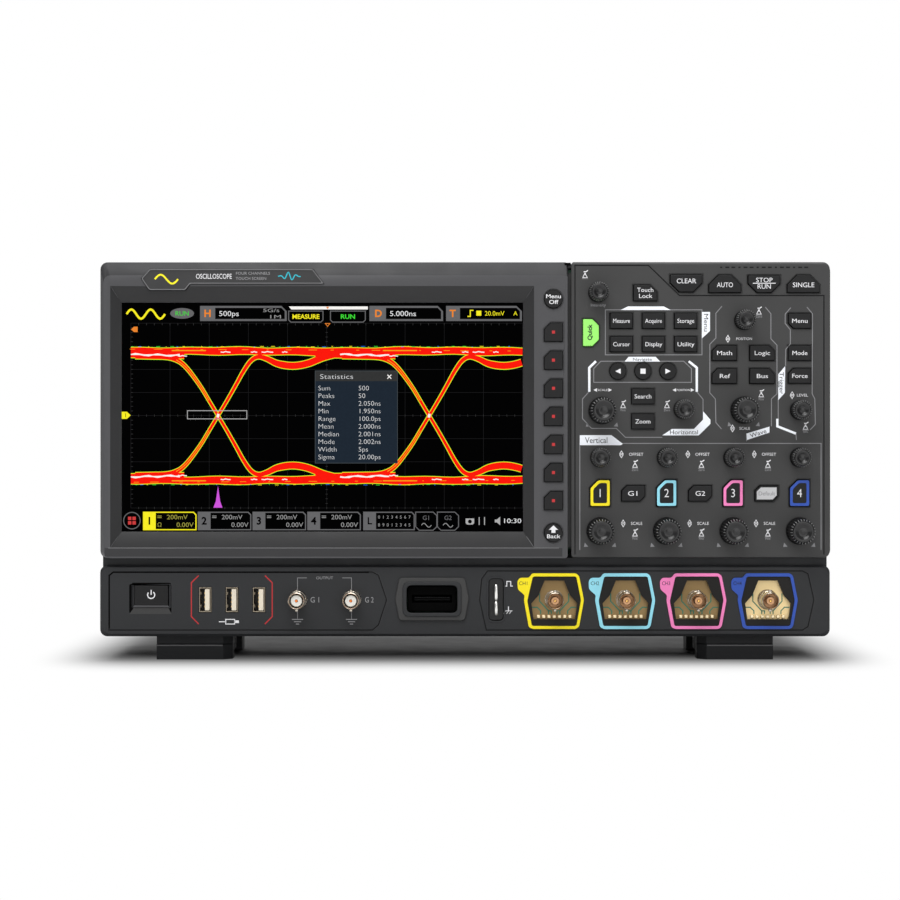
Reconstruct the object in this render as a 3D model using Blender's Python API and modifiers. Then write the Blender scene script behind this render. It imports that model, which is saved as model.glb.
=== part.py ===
"""A bench oscilloscope with a touch screen, as separate parts.

World units are metres. The front faces -Y, +X is to the operator's right and the feet
stand on Z = 0. Fourteen knobs and the fan turn, every key travels into its panel, and the
carrying handle and the two bench legs fold.
"""

from math import cos, pi, radians, sin

import bmesh
import bpy
from mathutils import Matrix

# Overall sizes
HALF_WIDTH = 0.205
TOP = 0.224
FOOT_HEIGHT = 0.014
REAR_WALL = 0.062
HALF_DEPTH = 0.0675
WALL = 0.0025
GAP = 0.0003
CORNER = 0.004
SEAM_CORNER = 0.0015
OVERCUT = 0.001

# Faces of the front panels, from the bench edge inwards
BEZEL_FACE = -0.052
CONTROL_FACE = -0.050
CONNECTOR_FACE = -0.0465
PANEL_BACK = -0.047
SEAM = -0.034

# Outlines of the three front panels, as (low, high)
BEZEL_X = (-0.2045, 0.0574)
CONTROL_X = (0.0596, 0.2045)
UPPER_Z = (0.0582, TOP)
LOWER_Z = (FOOT_HEIGHT, 0.0538)

# The front panels' edges, where their rounding ends, and the join behind them
BEZEL_EDGE = -0.0475
CONTROL_EDGE = -0.0488
CONNECTOR_EDGE = -0.0450
BEZEL_SHOULDER = 0.2164
BEZEL_SIDE = 0.0018
BOARD_RELIEF = -0.0430
LIP_Y = (-0.0466, -0.0440)
LIP_Z = (0.0640, 0.2180)
CONNECTOR_THICKNESS = 0.003

# Screen
SCREEN_X = (-0.1926, 0.0326)
SCREEN_Z = (0.0729, 0.2014)
FRAME_X = (-0.1984, 0.0386)
FRAME_Z = (0.0643, 0.2103)
FRAME_SLOPE = 0.0038
GLASS_Y = (-0.0467, -0.0449)
DISPLAY_Y = (-0.0446, -0.0386)
GLASS_RIM = 0.0044
DISPLAY_RIM = 0.0034

# Name plate
BADGE_X = (-0.1809, -0.0790)
BADGE_Z = (0.2117, 0.2198)
BADGE_TAB_X = -0.1537
BADGE_TAB_Z = 0.2082
BADGE_BACK = -0.0495

# Rows of controls
CHANNEL_X = [0.0756 + 0.0372 * i for i in range(4)]
INPUT_X = [0.0502 + 0.0400 * i for i in range(4)]
GENERATOR_X = (-0.0940, -0.0637)
INPUT_Z = 0.0346
OFFSET_Z = 0.1145
SCALE_Z = 0.0734
CHANNEL_KEY_Z = 0.0946
SOFT_KEY_X = 0.0494
SOFT_KEY_PITCH = 0.0157
USB_X = (-0.1458, -0.1308, -0.1156)

# Keys
KEY_TOP = 0.0013
KEY_CLEARANCE = 0.00035
FLANGE_FRONT = -0.0466
FLANGE_BACK = -0.0452
FLANGE_RIM = 0.0009

# Knobs, as (radius at the panel, radius at the nose, height)
SMALL_KNOB = (0.0056, 0.0043, 0.0140)
LARGE_KNOB = (0.0077, 0.0059, 0.0175)
SHAFT_RADIUS = 0.0030
KNOB_GAP = 0.0004

KNOBS = {
    "knob_intensity": (0.0745, 0.2068, SMALL_KNOB),
    "knob_wave_position": (0.1561, 0.1913, SMALL_KNOB),
    "knob_wave_scale": (0.1561, 0.1410, LARGE_KNOB),
    "knob_trigger_level": (0.1873, 0.1410, SMALL_KNOB),
    "knob_horizontal_scale": (0.0767, 0.1408, LARGE_KNOB),
    "knob_horizontal_position": (0.1221, 0.1415, SMALL_KNOB),
}
for number, channel_x in enumerate(CHANNEL_X, start=1):
    KNOBS[f"knob_offset_{number}"] = (channel_x, OFFSET_Z, SMALL_KNOB)
    KNOBS[f"knob_scale_{number}"] = (channel_x, SCALE_Z, LARGE_KNOB)

# Boards and sheet metal, as (front, back) in Y
KEYPAD_BOARD_Y = (-0.0420, -0.0404)
CHASSIS_PLATE_Y = (-0.0375, -0.0363)
MAIN_BOARD_Y = (-0.0200, -0.0184)
PROBE_BOARD_Y = (-0.0432, -0.0420)

CABLE_HOLE_X = (-0.1890, 0.1850)
CABLE_HOLE_Z = (0.0760, 0.1960)
SINK_X = (-0.040, 0.020)
SINK_Z = (0.100, 0.150)
CAN_Z = (0.045, 0.085)

# Cooling fan
FAN_X = 0.110
FAN_Z = 0.130
FAN_HALF = 0.046
FAN_BORE = 0.0444
FAN_HUB = 0.017
FAN_Y = (0.0330, 0.0582)
BLADES = 7
BLADE_PITCH = 0.75

# Vents and the supply behind the left-hand ones
SUPPLY_VENT_X = -0.135
SIDE_VENT_Z = (0.080, 0.165)
SUPPLY_X = (-0.1900, -0.0750)
SUPPLY_Y = (-0.0050, 0.0500)
SUPPLY_Z = (0.0600, 0.1900)

# Rear sockets
REAR_PLATE_Y = (0.0579, 0.0592)
REAR_OPENING_X = (-0.0600, 0.1850)
REAR_OPENING_Z = (0.0240, 0.0520)
REAR_COAXIAL_X = [0.080 + 0.028 * i for i in range(4)]
# The network, device, video and host sockets, as (x, width, height)
REAR_SOCKETS = [
    (-0.040, 0.0160, 0.0140),
    (-0.012, 0.0120, 0.0110),
    (0.016, 0.0150, 0.0060),
    (0.044, 0.0136, 0.0068),
]
INLET_X = -0.150
INLET_Z = 0.040

# Handle in its pocket in the roof
HANDLE_PIVOT = (0.0, -0.002, 0.2175)
HANDLE_HALF = 0.108
HANDLE_REACH = 0.044
HANDLE_BAR = 0.0085
POCKET_X = 0.113
POCKET_Y = (-0.0105, 0.0475)
POCKET_FLOOR = 0.2115

# Feet and fold-out bench legs
FOOT_X = 0.1533
FOOT_HALF = 0.02135
FOOT_RIDGE = 0.0083
FOOT_INTO_FLOOR = FOOT_HEIGHT + 0.0012
LEG_PIVOT_Y = -0.010
LEG_PIVOT_Z = 0.009
LEG_REACH = 0.038
LEG_HALF = 0.0174

BLACK_PLASTIC = ((0.018, 0.018, 0.019), 0.55, 0.0)
GREY_PLASTIC = ((0.060, 0.061, 0.064), 0.50, 0.0)
DARK_PLASTIC = ((0.035, 0.036, 0.038), 0.50, 0.0)
GREEN_PLASTIC = ((0.39, 1.00, 0.20), 0.45, 0.0)
WHITE_PLASTIC = ((0.80, 0.80, 0.82), 0.45, 0.0)
NICKEL = ((0.62, 0.60, 0.56), 0.25, 1.0)
STEEL = ((0.55, 0.56, 0.58), 0.35, 1.0)
GLASS = ((0.010, 0.010, 0.012), 0.05, 0.0)
BOARD = ((0.02, 0.16, 0.07), 0.45, 0.0)
GOLD_BOARD = ((0.60, 0.43, 0.18), 0.35, 0.6)

AXIS_TURN = {"X": (pi / 2, 0, pi / 2), "Y": (pi / 2, 0, 0), "Z": (0, 0, 0)}


def new_collection(name):
    collection = bpy.data.collections.new(name)
    bpy.context.scene.collection.children.link(collection)
    return collection


def clear_scene():
    for obj in list(bpy.data.objects):
        bpy.data.objects.remove(obj)


def finish(part, look):
    """Make an object a part: file it and give it its own material."""
    colour, roughness, metallic = look
    material = bpy.data.materials.new(part.name)
    material.use_nodes = True
    surface = material.node_tree.nodes["Principled BSDF"]
    surface.inputs["Base Color"].default_value = (*colour, 1)
    surface.inputs["Roughness"].default_value = roughness
    surface.inputs["Metallic"].default_value = metallic
    part.data.materials.clear()
    part.data.materials.append(material)
    CUTTERS.objects.unlink(part)
    PARTS.objects.link(part)
    part.hide_render = False
    part.display_type = "TEXTURED"
    return part


def helper(name, mesh, location=(0, 0, 0), rotation=(0, 0, 0)):
    """A new object, filed as a cutter until finish() makes it a part."""
    obj = bpy.data.objects.new(name, mesh)
    obj.location = location
    obj.rotation_euler = rotation
    CUTTERS.objects.link(obj)
    obj.hide_render = True
    obj.display_type = "WIRE"
    return obj


def mesh_from(form, name):
    bmesh.ops.recalc_face_normals(form, faces=form.faces)
    mesh = bpy.data.meshes.new(name)
    form.to_mesh(mesh)
    form.free()
    return mesh


def box(name, x, y, z):
    """A box between (low, high) on each axis, with its origin at its centre."""
    form = bmesh.new()
    bmesh.ops.create_cube(form, size=1)
    sizes = [high - low for low, high in (x, y, z)]
    for vert in form.verts:
        vert.co = [side * part for side, part in zip(sizes, vert.co)]
    centre = [(low + high) / 2 for low, high in (x, y, z)]
    return helper(name, mesh_from(form, name), centre)


def rod(name, radius, axis, span, centre, segments=16):
    """A round bar along an axis; centre holds the other two coordinates in order."""
    form = bmesh.new()
    bmesh.ops.create_cone(
        form, cap_ends=True, segments=segments, radius1=radius, radius2=radius, depth=span[1] - span[0]
    )
    place = list(centre)
    place.insert("XYZ".index(axis), (span[0] + span[1]) / 2)
    return helper(name, mesh_from(form, name), place, AXIS_TURN[axis])


def prism(name, outline, axis, span, origin=(0, 0, 0)):
    """A flat outline filled and extruded along an axis, both measured from the origin."""
    curve = bpy.data.curves.new(name, "CURVE")
    curve.dimensions = "2D"
    curve.fill_mode = "BOTH"
    curve.extrude = abs(span[1] - span[0]) / 2
    spline = curve.splines.new("POLY")
    spline.points.add(len(outline) - 1)
    for point, (across, up) in zip(spline.points, outline):
        point.co = (across, up, 0, 1)
    spline.use_cyclic_u = True
    place = list(origin)
    place["XYZ".index(axis)] += (span[0] + span[1]) / 2
    source = helper(name + "_outline", curve, place, AXIS_TURN[axis])
    bpy.context.view_layer.update()
    graph = bpy.context.evaluated_depsgraph_get()
    mesh = bpy.data.meshes.new_from_object(source.evaluated_get(graph))
    form = bmesh.new()
    form.from_mesh(mesh)
    bmesh.ops.remove_doubles(form, verts=form.verts, dist=0.00001)
    solid = helper(name, mesh_from(form, name))
    solid.matrix_world = source.matrix_world.copy()
    bpy.data.objects.remove(source)
    return solid


def loft(name, sections):
    """A solid through outlines in X and Z with equal numbers of points, each given as (y, outline)."""
    form = bmesh.new()
    rings = [[form.verts.new((x, y, z)) for x, z in outline] for y, outline in sections]
    return helper(name, mesh_from(skin(form, rings), name))


def skin(form, rings):
    """Faces between rings of equal numbers of points, closed at both ends."""
    for ring, following in zip(rings, rings[1:]):
        for i in range(len(ring)):
            form.faces.new((ring[i - 1], ring[i], following[i], following[i - 1]))
    form.faces.new(rings[0])
    form.faces.new(reversed(rings[-1]))
    return form


def turned(name, profile, steps, location):
    """A turned solid whose profile of (radius, height) runs from its nose, towards -Y."""
    mesh = bpy.data.meshes.new(name)
    edges = [(i, i + 1) for i in range(len(profile) - 1)]
    mesh.from_pydata([(radius, 0, height) for radius, height in profile], edges, [])
    part = helper(name, mesh, location, AXIS_TURN["Y"])
    screw = part.modifiers.new("turn", "SCREW")
    screw.steps = screw.render_steps = steps
    screw.use_merge_vertices = True
    screw.merge_threshold = 0.00001
    screw.use_smooth_shade = True
    return part


def group(name, pieces):
    """Closed pieces that stay clear of each other, as one cutter with its origin at the world's."""
    form = bmesh.new()
    for piece in pieces:
        mesh = piece.data
        mesh.transform(piece.matrix_basis)
        form.from_mesh(mesh)
        bpy.data.objects.remove(piece)
    return helper(name, mesh_from(form, name))


def combine(part, operation, tool):
    step = part.modifiers.new(tool.name, "BOOLEAN")
    step.operation = operation
    step.solver = "EXACT"
    step.object = tool
    return part


def cut(part, *tools):
    for tool in tools:
        combine(part, "DIFFERENCE", tool)
    return part


def add(part, *tools):
    for tool in tools:
        combine(part, "UNION", tool)
    return part


def around(centre, half):
    return (centre - half, centre + half)


def rectangle(x, z):
    return [(x[0], z[0]), (x[1], z[0]), (x[1], z[1]), (x[0], z[1])]


def rounded(x, z, left, right=None, steps=3):
    """A rectangle with round corners, anticlockwise from the right-hand top; radii by side."""
    right = left if right is None else right
    corners = [
        (right, x[1] - right, z[1] - right),
        (left, x[0] + left, z[1] - left),
        (left, x[0] + left, z[0] + left),
        (right, x[1] - right, z[0] + right),
    ]
    points = []
    for quarter, (radius, centre_x, centre_z) in enumerate(corners):
        for step in range(steps + 1):
            angle = radians(90) * (quarter + step / steps)
            points.append((centre_x + radius * cos(angle), centre_z + radius * sin(angle)))
    return points


def chamfered(x, z, width, height, corners):
    """A rectangle about (x, z) with its named corners cut at 45 degrees, by the sizes given."""
    half, rise = width / 2, height / 2
    points = []
    for name, side, end in (("bl", -1, -1), ("br", 1, -1), ("tr", 1, 1), ("tl", -1, 1)):
        size = corners.get(name, 0)
        corner = (x + side * half, z + end * rise)
        if not size:
            points.append(corner)
            continue
        upright = (corner[0], corner[1] - end * size)
        level = (corner[0] - side * size, corner[1])
        points += [upright, level] if side * end > 0 else [level, upright]
    return points


def circle(x, z, radius, segments=16):
    turns = [2 * pi * i / segments for i in range(segments)]
    return [(x + radius * cos(turn), z + radius * sin(turn)) for turn in turns]


# Every key as (x, z, width, height, cut corners); a round key's height is None.
TRAPEZOID_DOWN = {"bl": 0.005, "br": 0.005}
TRAPEZOID_UP = {"tl": 0.0054, "tr": 0.0054}
CHANNEL_CORNER = {"tl": 0.0045}
OUTER_LEFT = {"tl": 0.0030}
OUTER_RIGHT = {"tr": 0.0030}
SLANTED = {"tl": 0.0028, "br": 0.0028}

SINGLE_KEYS = {
    "key_clear": (0.1238, 0.2120, 0.0178, 0.0094, TRAPEZOID_DOWN),
    "key_auto": (0.1455, 0.2117, 0.0179, 0.0096, TRAPEZOID_UP),
    "key_run_stop": (0.1674, 0.2116, 0.0178, 0.0094, TRAPEZOID_DOWN),
    "key_single": (0.1894, 0.2117, 0.0179, 0.0096, TRAPEZOID_UP),
    "key_touch_lock": (0.1009, 0.2066, 0.0132, 0.0086, {"tr": 0.0040}),
    "key_quick": (0.0705, 0.1844, 0.0088, 0.0150, {"tr": 0.0036, "br": 0.0036}),
    "key_default": (0.1688, 0.0944, 0.0129, 0.0085, SLANTED),
}
for number, channel_x in enumerate(CHANNEL_X, start=1):
    SINGLE_KEYS[f"key_ch{number}"] = (channel_x, CHANNEL_KEY_Z, 0.0111, 0.0147, CHANNEL_CORNER)

MENU_KEYS = [(x, z, 0.0125, 0.0083, {}) for z in (0.1910, 0.1779) for x in (0.0875, 0.1055, 0.1235)]
HORIZONTAL_KEYS = [(x, 0.1628, 0.0091, None, {}) for x in (0.0856, 0.0996, 0.1136)]
HORIZONTAL_KEYS += [(0.0996, z, 0.0124, 0.0082, {}) for z in (0.1487, 0.1347)]
WAVE_KEYS = [
    (x, z, 0.0137, 0.0082, corner)
    for z in (0.1730, 0.1601)
    for x, corner in ((0.1452, OUTER_LEFT), (0.1663, OUTER_RIGHT))
]
TRIGGER_KEYS = [
    (0.1873, 0.1910, 0.0125, 0.0081, {"bl": 0.0028}),
    (0.1873, 0.1730, 0.0125, 0.0081, {}),
    (0.1873, 0.1602, 0.0125, 0.0081, {"tl": 0.0028}),
]
GENERATOR_KEYS = [(x, 0.0944, 0.0129, 0.0085, SLANTED) for x in (0.0942, 0.1316)]
SOFT_KEYS = [(SOFT_KEY_X, z, 0.0100, None, {}) for z in (0.2031, 0.0724)]
SOFT_KEYS += [
    (SOFT_KEY_X, 0.1846 - SOFT_KEY_PITCH * i, 0.0100, 0.0100, {"tl": 0.0035}) for i in range(7)
]

# The one-piece mats that join the keys of a group behind the panel, as rectangles
KEY_MATS = {
    "menu_keypad": (MENU_KEYS, [((0.0800, 0.1310), (0.1725, 0.1964))]),
    "horizontal_keypad": (
        HORIZONTAL_KEYS,
        [((0.0800, 0.1192), (0.1570, 0.1686)), ((0.0924, 0.1068), (0.1296, 0.1600))],
    ),
    "wave_keypad": (WAVE_KEYS, [((0.1375, 0.1740), (0.1550, 0.1781))]),
    "trigger_keypad": (TRIGGER_KEYS, [((0.1801, 0.1945), (0.1551, 0.1960))]),
    "generator_keypad": (
        GENERATOR_KEYS,
        [
            ((0.0868, 0.1390), (0.0800, 0.0850)),
            ((0.0868, 0.1016), (0.0840, 0.0996)),
            ((0.1242, 0.1390), (0.0840, 0.0996)),
        ],
    ),
}


def key_outline(key, grow=0.0):
    x, z, width, height, corners = key
    if height is None:
        return circle(x, z, width / 2 + grow)
    larger = {name: size + grow / 2 for name, size in corners.items()}
    return chamfered(x, z, width + 2 * grow, height + 2 * grow, larger)


def key_holes(name, keys, face):
    """One cutter with a hole for each key."""
    span = (face - GAP, PANEL_BACK + GAP)
    return group(name, [prism("hole", key_outline(key, KEY_CLEARANCE), "Y", span) for key in keys])


def display_bezel():
    """The frame round the screen: its top strip leans back and its window narrows inwards."""
    front = rounded((BEZEL_X[0] + 0.0023, BEZEL_X[1]), (UPPER_Z[0], BEZEL_SHOULDER), CORNER, SEAM_CORNER, 6)
    full = rounded(BEZEL_X, UPPER_Z, CORNER, SEAM_CORNER, 6)
    part = loft("display_bezel", [(BEZEL_FACE, front), (BEZEL_EDGE, full), (SEAM, full)])
    wall_x = BEZEL_X[1] - BEZEL_SIDE
    inside = (BEZEL_X[0] + WALL, wall_x), (UPPER_Z[0] + WALL, TOP - WALL)
    cut(part, box("bezel_cavity", inside[0], (PANEL_BACK, SEAM + OVERCUT), inside[1]))
    relief = (wall_x - OVERCUT, BEZEL_X[1] + OVERCUT)
    cut(part, box("bezel_board_relief", relief, (BOARD_RELIEF, SEAM + 2 * OVERCUT), inside[1]))
    window = [
        (BEZEL_FACE - OVERCUT, rectangle(FRAME_X, FRAME_Z)),
        (BEZEL_FACE, rectangle(FRAME_X, FRAME_Z)),
        (BEZEL_FACE + FRAME_SLOPE, rectangle(SCREEN_X, SCREEN_Z)),
        (PANEL_BACK + OVERCUT, rectangle(SCREEN_X, SCREEN_Z)),
    ]
    cut(part, loft("screen_window", window), key_holes("soft_key_holes", SOFT_KEYS, BEZEL_FACE))
    pocket = (BEZEL_FACE - 2 * OVERCUT, BADGE_BACK + GAP)
    cut(part, prism("badge_pocket", badge_outline(GAP), "Y", pocket))
    return finish(part, GREY_PLASTIC)


def badge_outline(grow=0.0):
    """The name plate: a long bar with a tab that hangs down at its left end."""
    left, right, tab = BADGE_X[0] - grow, BADGE_X[1] + grow, BADGE_TAB_X + grow
    top, bottom, low = BADGE_Z[1] + grow, BADGE_Z[0] - grow, BADGE_TAB_Z - grow
    return [
        (left, BADGE_TAB_Z + 0.0064),
        (left + 0.0044, low),
        (tab - 0.0027, low),
        (tab, bottom),
        (right, bottom),
        (right - 0.0062, top),
        (left + 0.0047, top),
    ]


def badge_plate():
    span = (BEZEL_FACE - 0.0009, BADGE_BACK)
    return finish(prism("badge_plate", badge_outline(), "Y", span), GREY_PLASTIC)


def control_panel():
    """The panel of knobs and keys, with the lip that closes the seam beside the bezel."""
    front = rounded(CONTROL_X, (UPPER_Z[0] + 0.0006, TOP - 0.0012), SEAM_CORNER, CORNER, 6)
    full = rounded(CONTROL_X, UPPER_Z, SEAM_CORNER, CORNER, 6)
    part = loft("control_panel", [(CONTROL_FACE, front), (CONTROL_EDGE, full), (SEAM, full)])
    inside_x = (CONTROL_X[0] + WALL, CONTROL_X[1] - WALL)
    inside_z = (UPPER_Z[0] + WALL + GAP, TOP - WALL)
    cut(part, box("control_cavity", inside_x, (PANEL_BACK, SEAM + OVERCUT), inside_z))
    relief = (CONTROL_X[0] - OVERCUT, inside_x[0] + OVERCUT)
    cut(part, box("control_board_relief", relief, (BOARD_RELIEF, SEAM + 2 * OVERCUT), inside_z))
    lip = (BEZEL_X[1] + GAP, CONTROL_X[0] + OVERCUT)
    add(part, box("seam_lip", lip, LIP_Y, LIP_Z))
    every_key = list(SINGLE_KEYS.values())
    for keys, _ in KEY_MATS.values():
        every_key += keys
    cut(part, key_holes("control_key_holes", every_key, CONTROL_FACE))
    span = (CONTROL_FACE - GAP, PANEL_BACK + GAP)
    radius = SHAFT_RADIUS + 0.0006
    shafts = [rod("hole", radius, "Y", span, (x, z), 12) for x, z, _ in KNOBS.values()]
    cut(part, group("shaft_holes", shafts))
    return finish(part, DARK_PLASTIC)


def connector_panel():
    """The lower front, with the set-back flange that makes the dark band under the panels."""
    edge = 0.0015
    front_x = (-HALF_WIDTH + edge, HALF_WIDTH - edge)
    front = rounded(front_x, (LOWER_Z[0] + edge, LOWER_Z[1] - 0.001), CORNER, steps=6)
    full = rounded((-HALF_WIDTH, HALF_WIDTH), LOWER_Z, CORNER, steps=6)
    part = loft("connector_panel", [(CONNECTOR_FACE, front), (CONNECTOR_EDGE, full), (SEAM, full)])
    inside = (-HALF_WIDTH + WALL, HALF_WIDTH - WALL), (LOWER_Z[0] + WALL, LOWER_Z[1] - WALL)
    plate_back = CONNECTOR_FACE + CONNECTOR_THICKNESS
    cut(part, box("connector_cavity", inside[0], (plate_back, SEAM + OVERCUT), inside[1]))
    flange_x = (-HALF_WIDTH + 0.002, HALF_WIDTH - 0.002)
    flange_z = (LOWER_Z[1] - 0.0018, UPPER_Z[0] - GAP)
    add(part, box("shadow_flange", flange_x, (-0.0420, SEAM - 0.0002), flange_z))
    span = (CONNECTOR_FACE - GAP, plate_back + GAP)
    holes = [prism("hole", window_outline(x), "Y", span) for x in INPUT_X]
    holes += [rod("hole", 0.0054, "Y", span, (x, INPUT_Z)) for x in GENERATOR_X]
    holes += [prism("hole", usb_outline(x, GAP), "Y", span) for x in USB_X]
    holes.append(prism("hole", rounded(*LOGIC_OPENING, 0.002, steps=2), "Y", span))
    holes.append(prism("hole", rounded(*TERMINAL_OPENING, 0.003, steps=2), "Y", span))
    holes.append(prism("hole", rectangle(*power_outline(KEY_CLEARANCE)), "Y", span))
    cut(part, group("connector_holes", holes))
    recess = [
        (CONNECTOR_FACE - 0.0005, rectangle((-0.1883, -0.1651), (0.0267, 0.0433))),
        (CONNECTOR_FACE + 0.0010, rectangle((-0.1867, -0.1655), (0.0300, 0.0429))),
    ]
    cut(part, loft("power_recess", recess))
    return finish(part, DARK_PLASTIC)


LOGIC_OPENING = (-0.0328, -0.0042), (0.0272, 0.0429)
TERMINAL_OPENING = (0.0128, 0.0222), (0.0224, 0.0472)


def window_outline(x):
    """The opening round a channel input that shows the probe contacts."""
    half = [(0.0055, 0.0108), (0.0089, 0.0025), (0.0129, -0.0020), (0.0117, -0.0110)]
    right = [(x + across, INPUT_Z + up) for across, up in half]
    left = [(x - across, INPUT_Z + up) for across, up in reversed(half)]
    return right + left


def usb_outline(x, grow=0.0):
    half, rise = 0.0034 + grow, 0.00685 + grow
    return rectangle((x - half, x + half), (INPUT_Z - rise, INPUT_Z + rise))


def power_outline(grow=0.0):
    return (-0.1856 - grow, -0.1666 + grow), (0.0314 - grow, 0.0426 + grow)


def touch_glass():
    x = (SCREEN_X[0] - GLASS_RIM, SCREEN_X[1] + GLASS_RIM)
    z = (SCREEN_Z[0] - GLASS_RIM, SCREEN_Z[1] + GLASS_RIM)
    return finish(box("touch_glass", x, GLASS_Y, z), GLASS)


def lcd_panel():
    x = (SCREEN_X[0] - DISPLAY_RIM, SCREEN_X[1] + DISPLAY_RIM)
    z = (SCREEN_Z[0] - DISPLAY_RIM, SCREEN_Z[1] + DISPLAY_RIM)
    part = box("lcd_panel", x, DISPLAY_Y, z)
    bevel = part.modifiers.new("edge", "BEVEL")
    bevel.width = 0.0008
    bevel.segments = 1
    return finish(part, STEEL)


def rear_cover():
    """The back half of the case: a shell with vents, the handle pocket, and the feet under it."""
    front_y = SEAM + GAP
    full = rounded((-HALF_WIDTH, HALF_WIDTH), (FOOT_HEIGHT, TOP), CORNER, steps=6)
    inset = 0.004
    back_x = (-HALF_WIDTH + inset, HALF_WIDTH - inset)
    back = rounded(back_x, (FOOT_HEIGHT + inset, TOP - inset), CORNER, steps=6)
    part = loft("rear_cover", [(front_y, full), (REAR_WALL - 0.006, full), (REAR_WALL, back)])
    inside = (-HALF_WIDTH + WALL, HALF_WIDTH - WALL), (FOOT_HEIGHT + WALL, TOP - WALL)
    narrow = (inside[0][0] + inset, inside[0][1] - inset), (inside[1][0] + inset, inside[1][1] - inset)
    cavity = [
        (front_y - OVERCUT, rectangle(*inside)),
        (REAR_WALL - 0.008, rectangle(*inside)),
        (REAR_WALL - WALL, rectangle(*narrow)),
    ]
    cut(part, loft("cover_cavity", cavity))
    add_handle_pocket(part)
    add_feet(part)
    add_bumpers(part)
    cut_vents(part)
    through = (REAR_WALL - 0.004, REAR_WALL + OVERCUT)
    inlet = (INLET_X - 0.0141, INLET_X + 0.0141), (INLET_Z - 0.0104, INLET_Z + 0.0104)
    openings = [
        box("opening", REAR_OPENING_X, through, REAR_OPENING_Z),
        box("opening", inlet[0], through, inlet[1]),
    ]
    cut(part, group("rear_openings", openings))
    return finish(part, DARK_PLASTIC)


def add_handle_pocket(part):
    side = POCKET_X + 0.0035
    y = (POCKET_Y[0] - 0.0035, POCKET_Y[1] + 0.0035)
    add(part, box("pocket_walls", (-side, side), y, (POCKET_FLOOR - WALL, TOP - 0.001)))
    cut(part, box("handle_pocket", (-POCKET_X, POCKET_X), POCKET_Y, (POCKET_FLOOR, TOP + 0.002)))
    sockets = [
        rod("socket", 0.0025, "X", (end - 0.0035, end + 0.0035), HANDLE_PIVOT[1:])
        for end in (-POCKET_X - 0.001, POCKET_X + 0.001)
    ]
    cut(part, group("handle_sockets", sockets))


def front_foot(side):
    """A front foot, its inner front edge slanted and its face set back above a ridge."""
    front, back = SEAM + GAP, -0.0170
    slant, step, taper = 0.005, 0.0012, 0.0005
    inner, outer = side * (FOOT_X - FOOT_HALF), side * (FOOT_X + FOOT_HALF)
    sections = []
    levels = [(0, taper), (FOOT_RIDGE - step, 0), (FOOT_RIDGE, 0), (FOOT_RIDGE + step / 2, step)]
    for z, inset in levels + [(FOOT_INTO_FLOOR, step)]:
        outline = [
            (inner, front + inset + slant),
            (inner + side * slant, front + inset),
            (outer, front + inset),
            (outer, back),
            (inner, back),
        ]
        sections.append((z, outline))
    form = bmesh.new()
    rings = [[form.verts.new((x, y, z)) for x, y in outline] for z, outline in sections]
    return helper("front_foot", mesh_from(skin(form, rings), "front_foot"))


def add_feet(part):
    """Two front feet, two rear feet and the lugs that carry the bench legs."""
    blocks = []
    sockets = []
    for side in (-1, 1):
        centre = side * FOOT_X
        x = (centre - FOOT_HALF, centre + FOOT_HALF)
        blocks.append(front_foot(side))
        blocks.append(box("rear_foot", x, (0.0360, 0.0540), (0, FOOT_INTO_FLOOR)))
        for end in (-1, 1):
            inner, outer = centre + end * (LEG_HALF + 0.0006), centre + end * FOOT_HALF
            lug_x = (min(inner, outer), max(inner, outer))
            lug_y = (LEG_PIVOT_Y - 0.005, LEG_PIVOT_Y + 0.006)
            blocks.append(box("leg_lug", lug_x, lug_y, (LEG_PIVOT_Z / 2, FOOT_INTO_FLOOR)))
            hole_x = (lug_x[0] - OVERCUT, lug_x[1] + OVERCUT)
            sockets.append(rod("socket", 0.0019, "X", hole_x, (LEG_PIVOT_Y, LEG_PIVOT_Z), 12))
    add(part, group("feet", blocks))
    cut(part, group("leg_sockets", sockets))


def add_bumpers(part):
    bumpers = []
    for side in (-1, 1):
        x = sorted((side * 0.1880, side * 0.1990))
        for z in ((0.0205, 0.0340), (0.2030, 0.2165)):
            bumpers.append(box("bumper", x, (REAR_WALL - 0.001, HALF_DEPTH), z))
    add(part, group("rear_bumpers", bumpers))


def cut_vents(part):
    """Slots in the back wall over the fan and the power supply, and in both side walls."""
    through = (REAR_WALL - 0.004, REAR_WALL + OVERCUT)
    slots = []
    half, pitch, height = 0.042, 0.0084, 0.0042
    for centre_x in (FAN_X, SUPPLY_VENT_X):
        for row in range(10):
            low = FAN_Z - 0.0400 + pitch * row
            slots.append(box("slot", (centre_x - half, centre_x + half), through, (low, low + height)))
    pitch, width = 0.0065, 0.0032
    for side in (-1, 1):
        x = sorted((side * (HALF_WIDTH + OVERCUT), side * (HALF_WIDTH - 0.004)))
        for row in range(9):
            low = -0.010 + pitch * row
            slots.append(box("slot", x, (low, low + width), SIDE_VENT_Z))
    cut(part, group("vents", slots))


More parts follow.
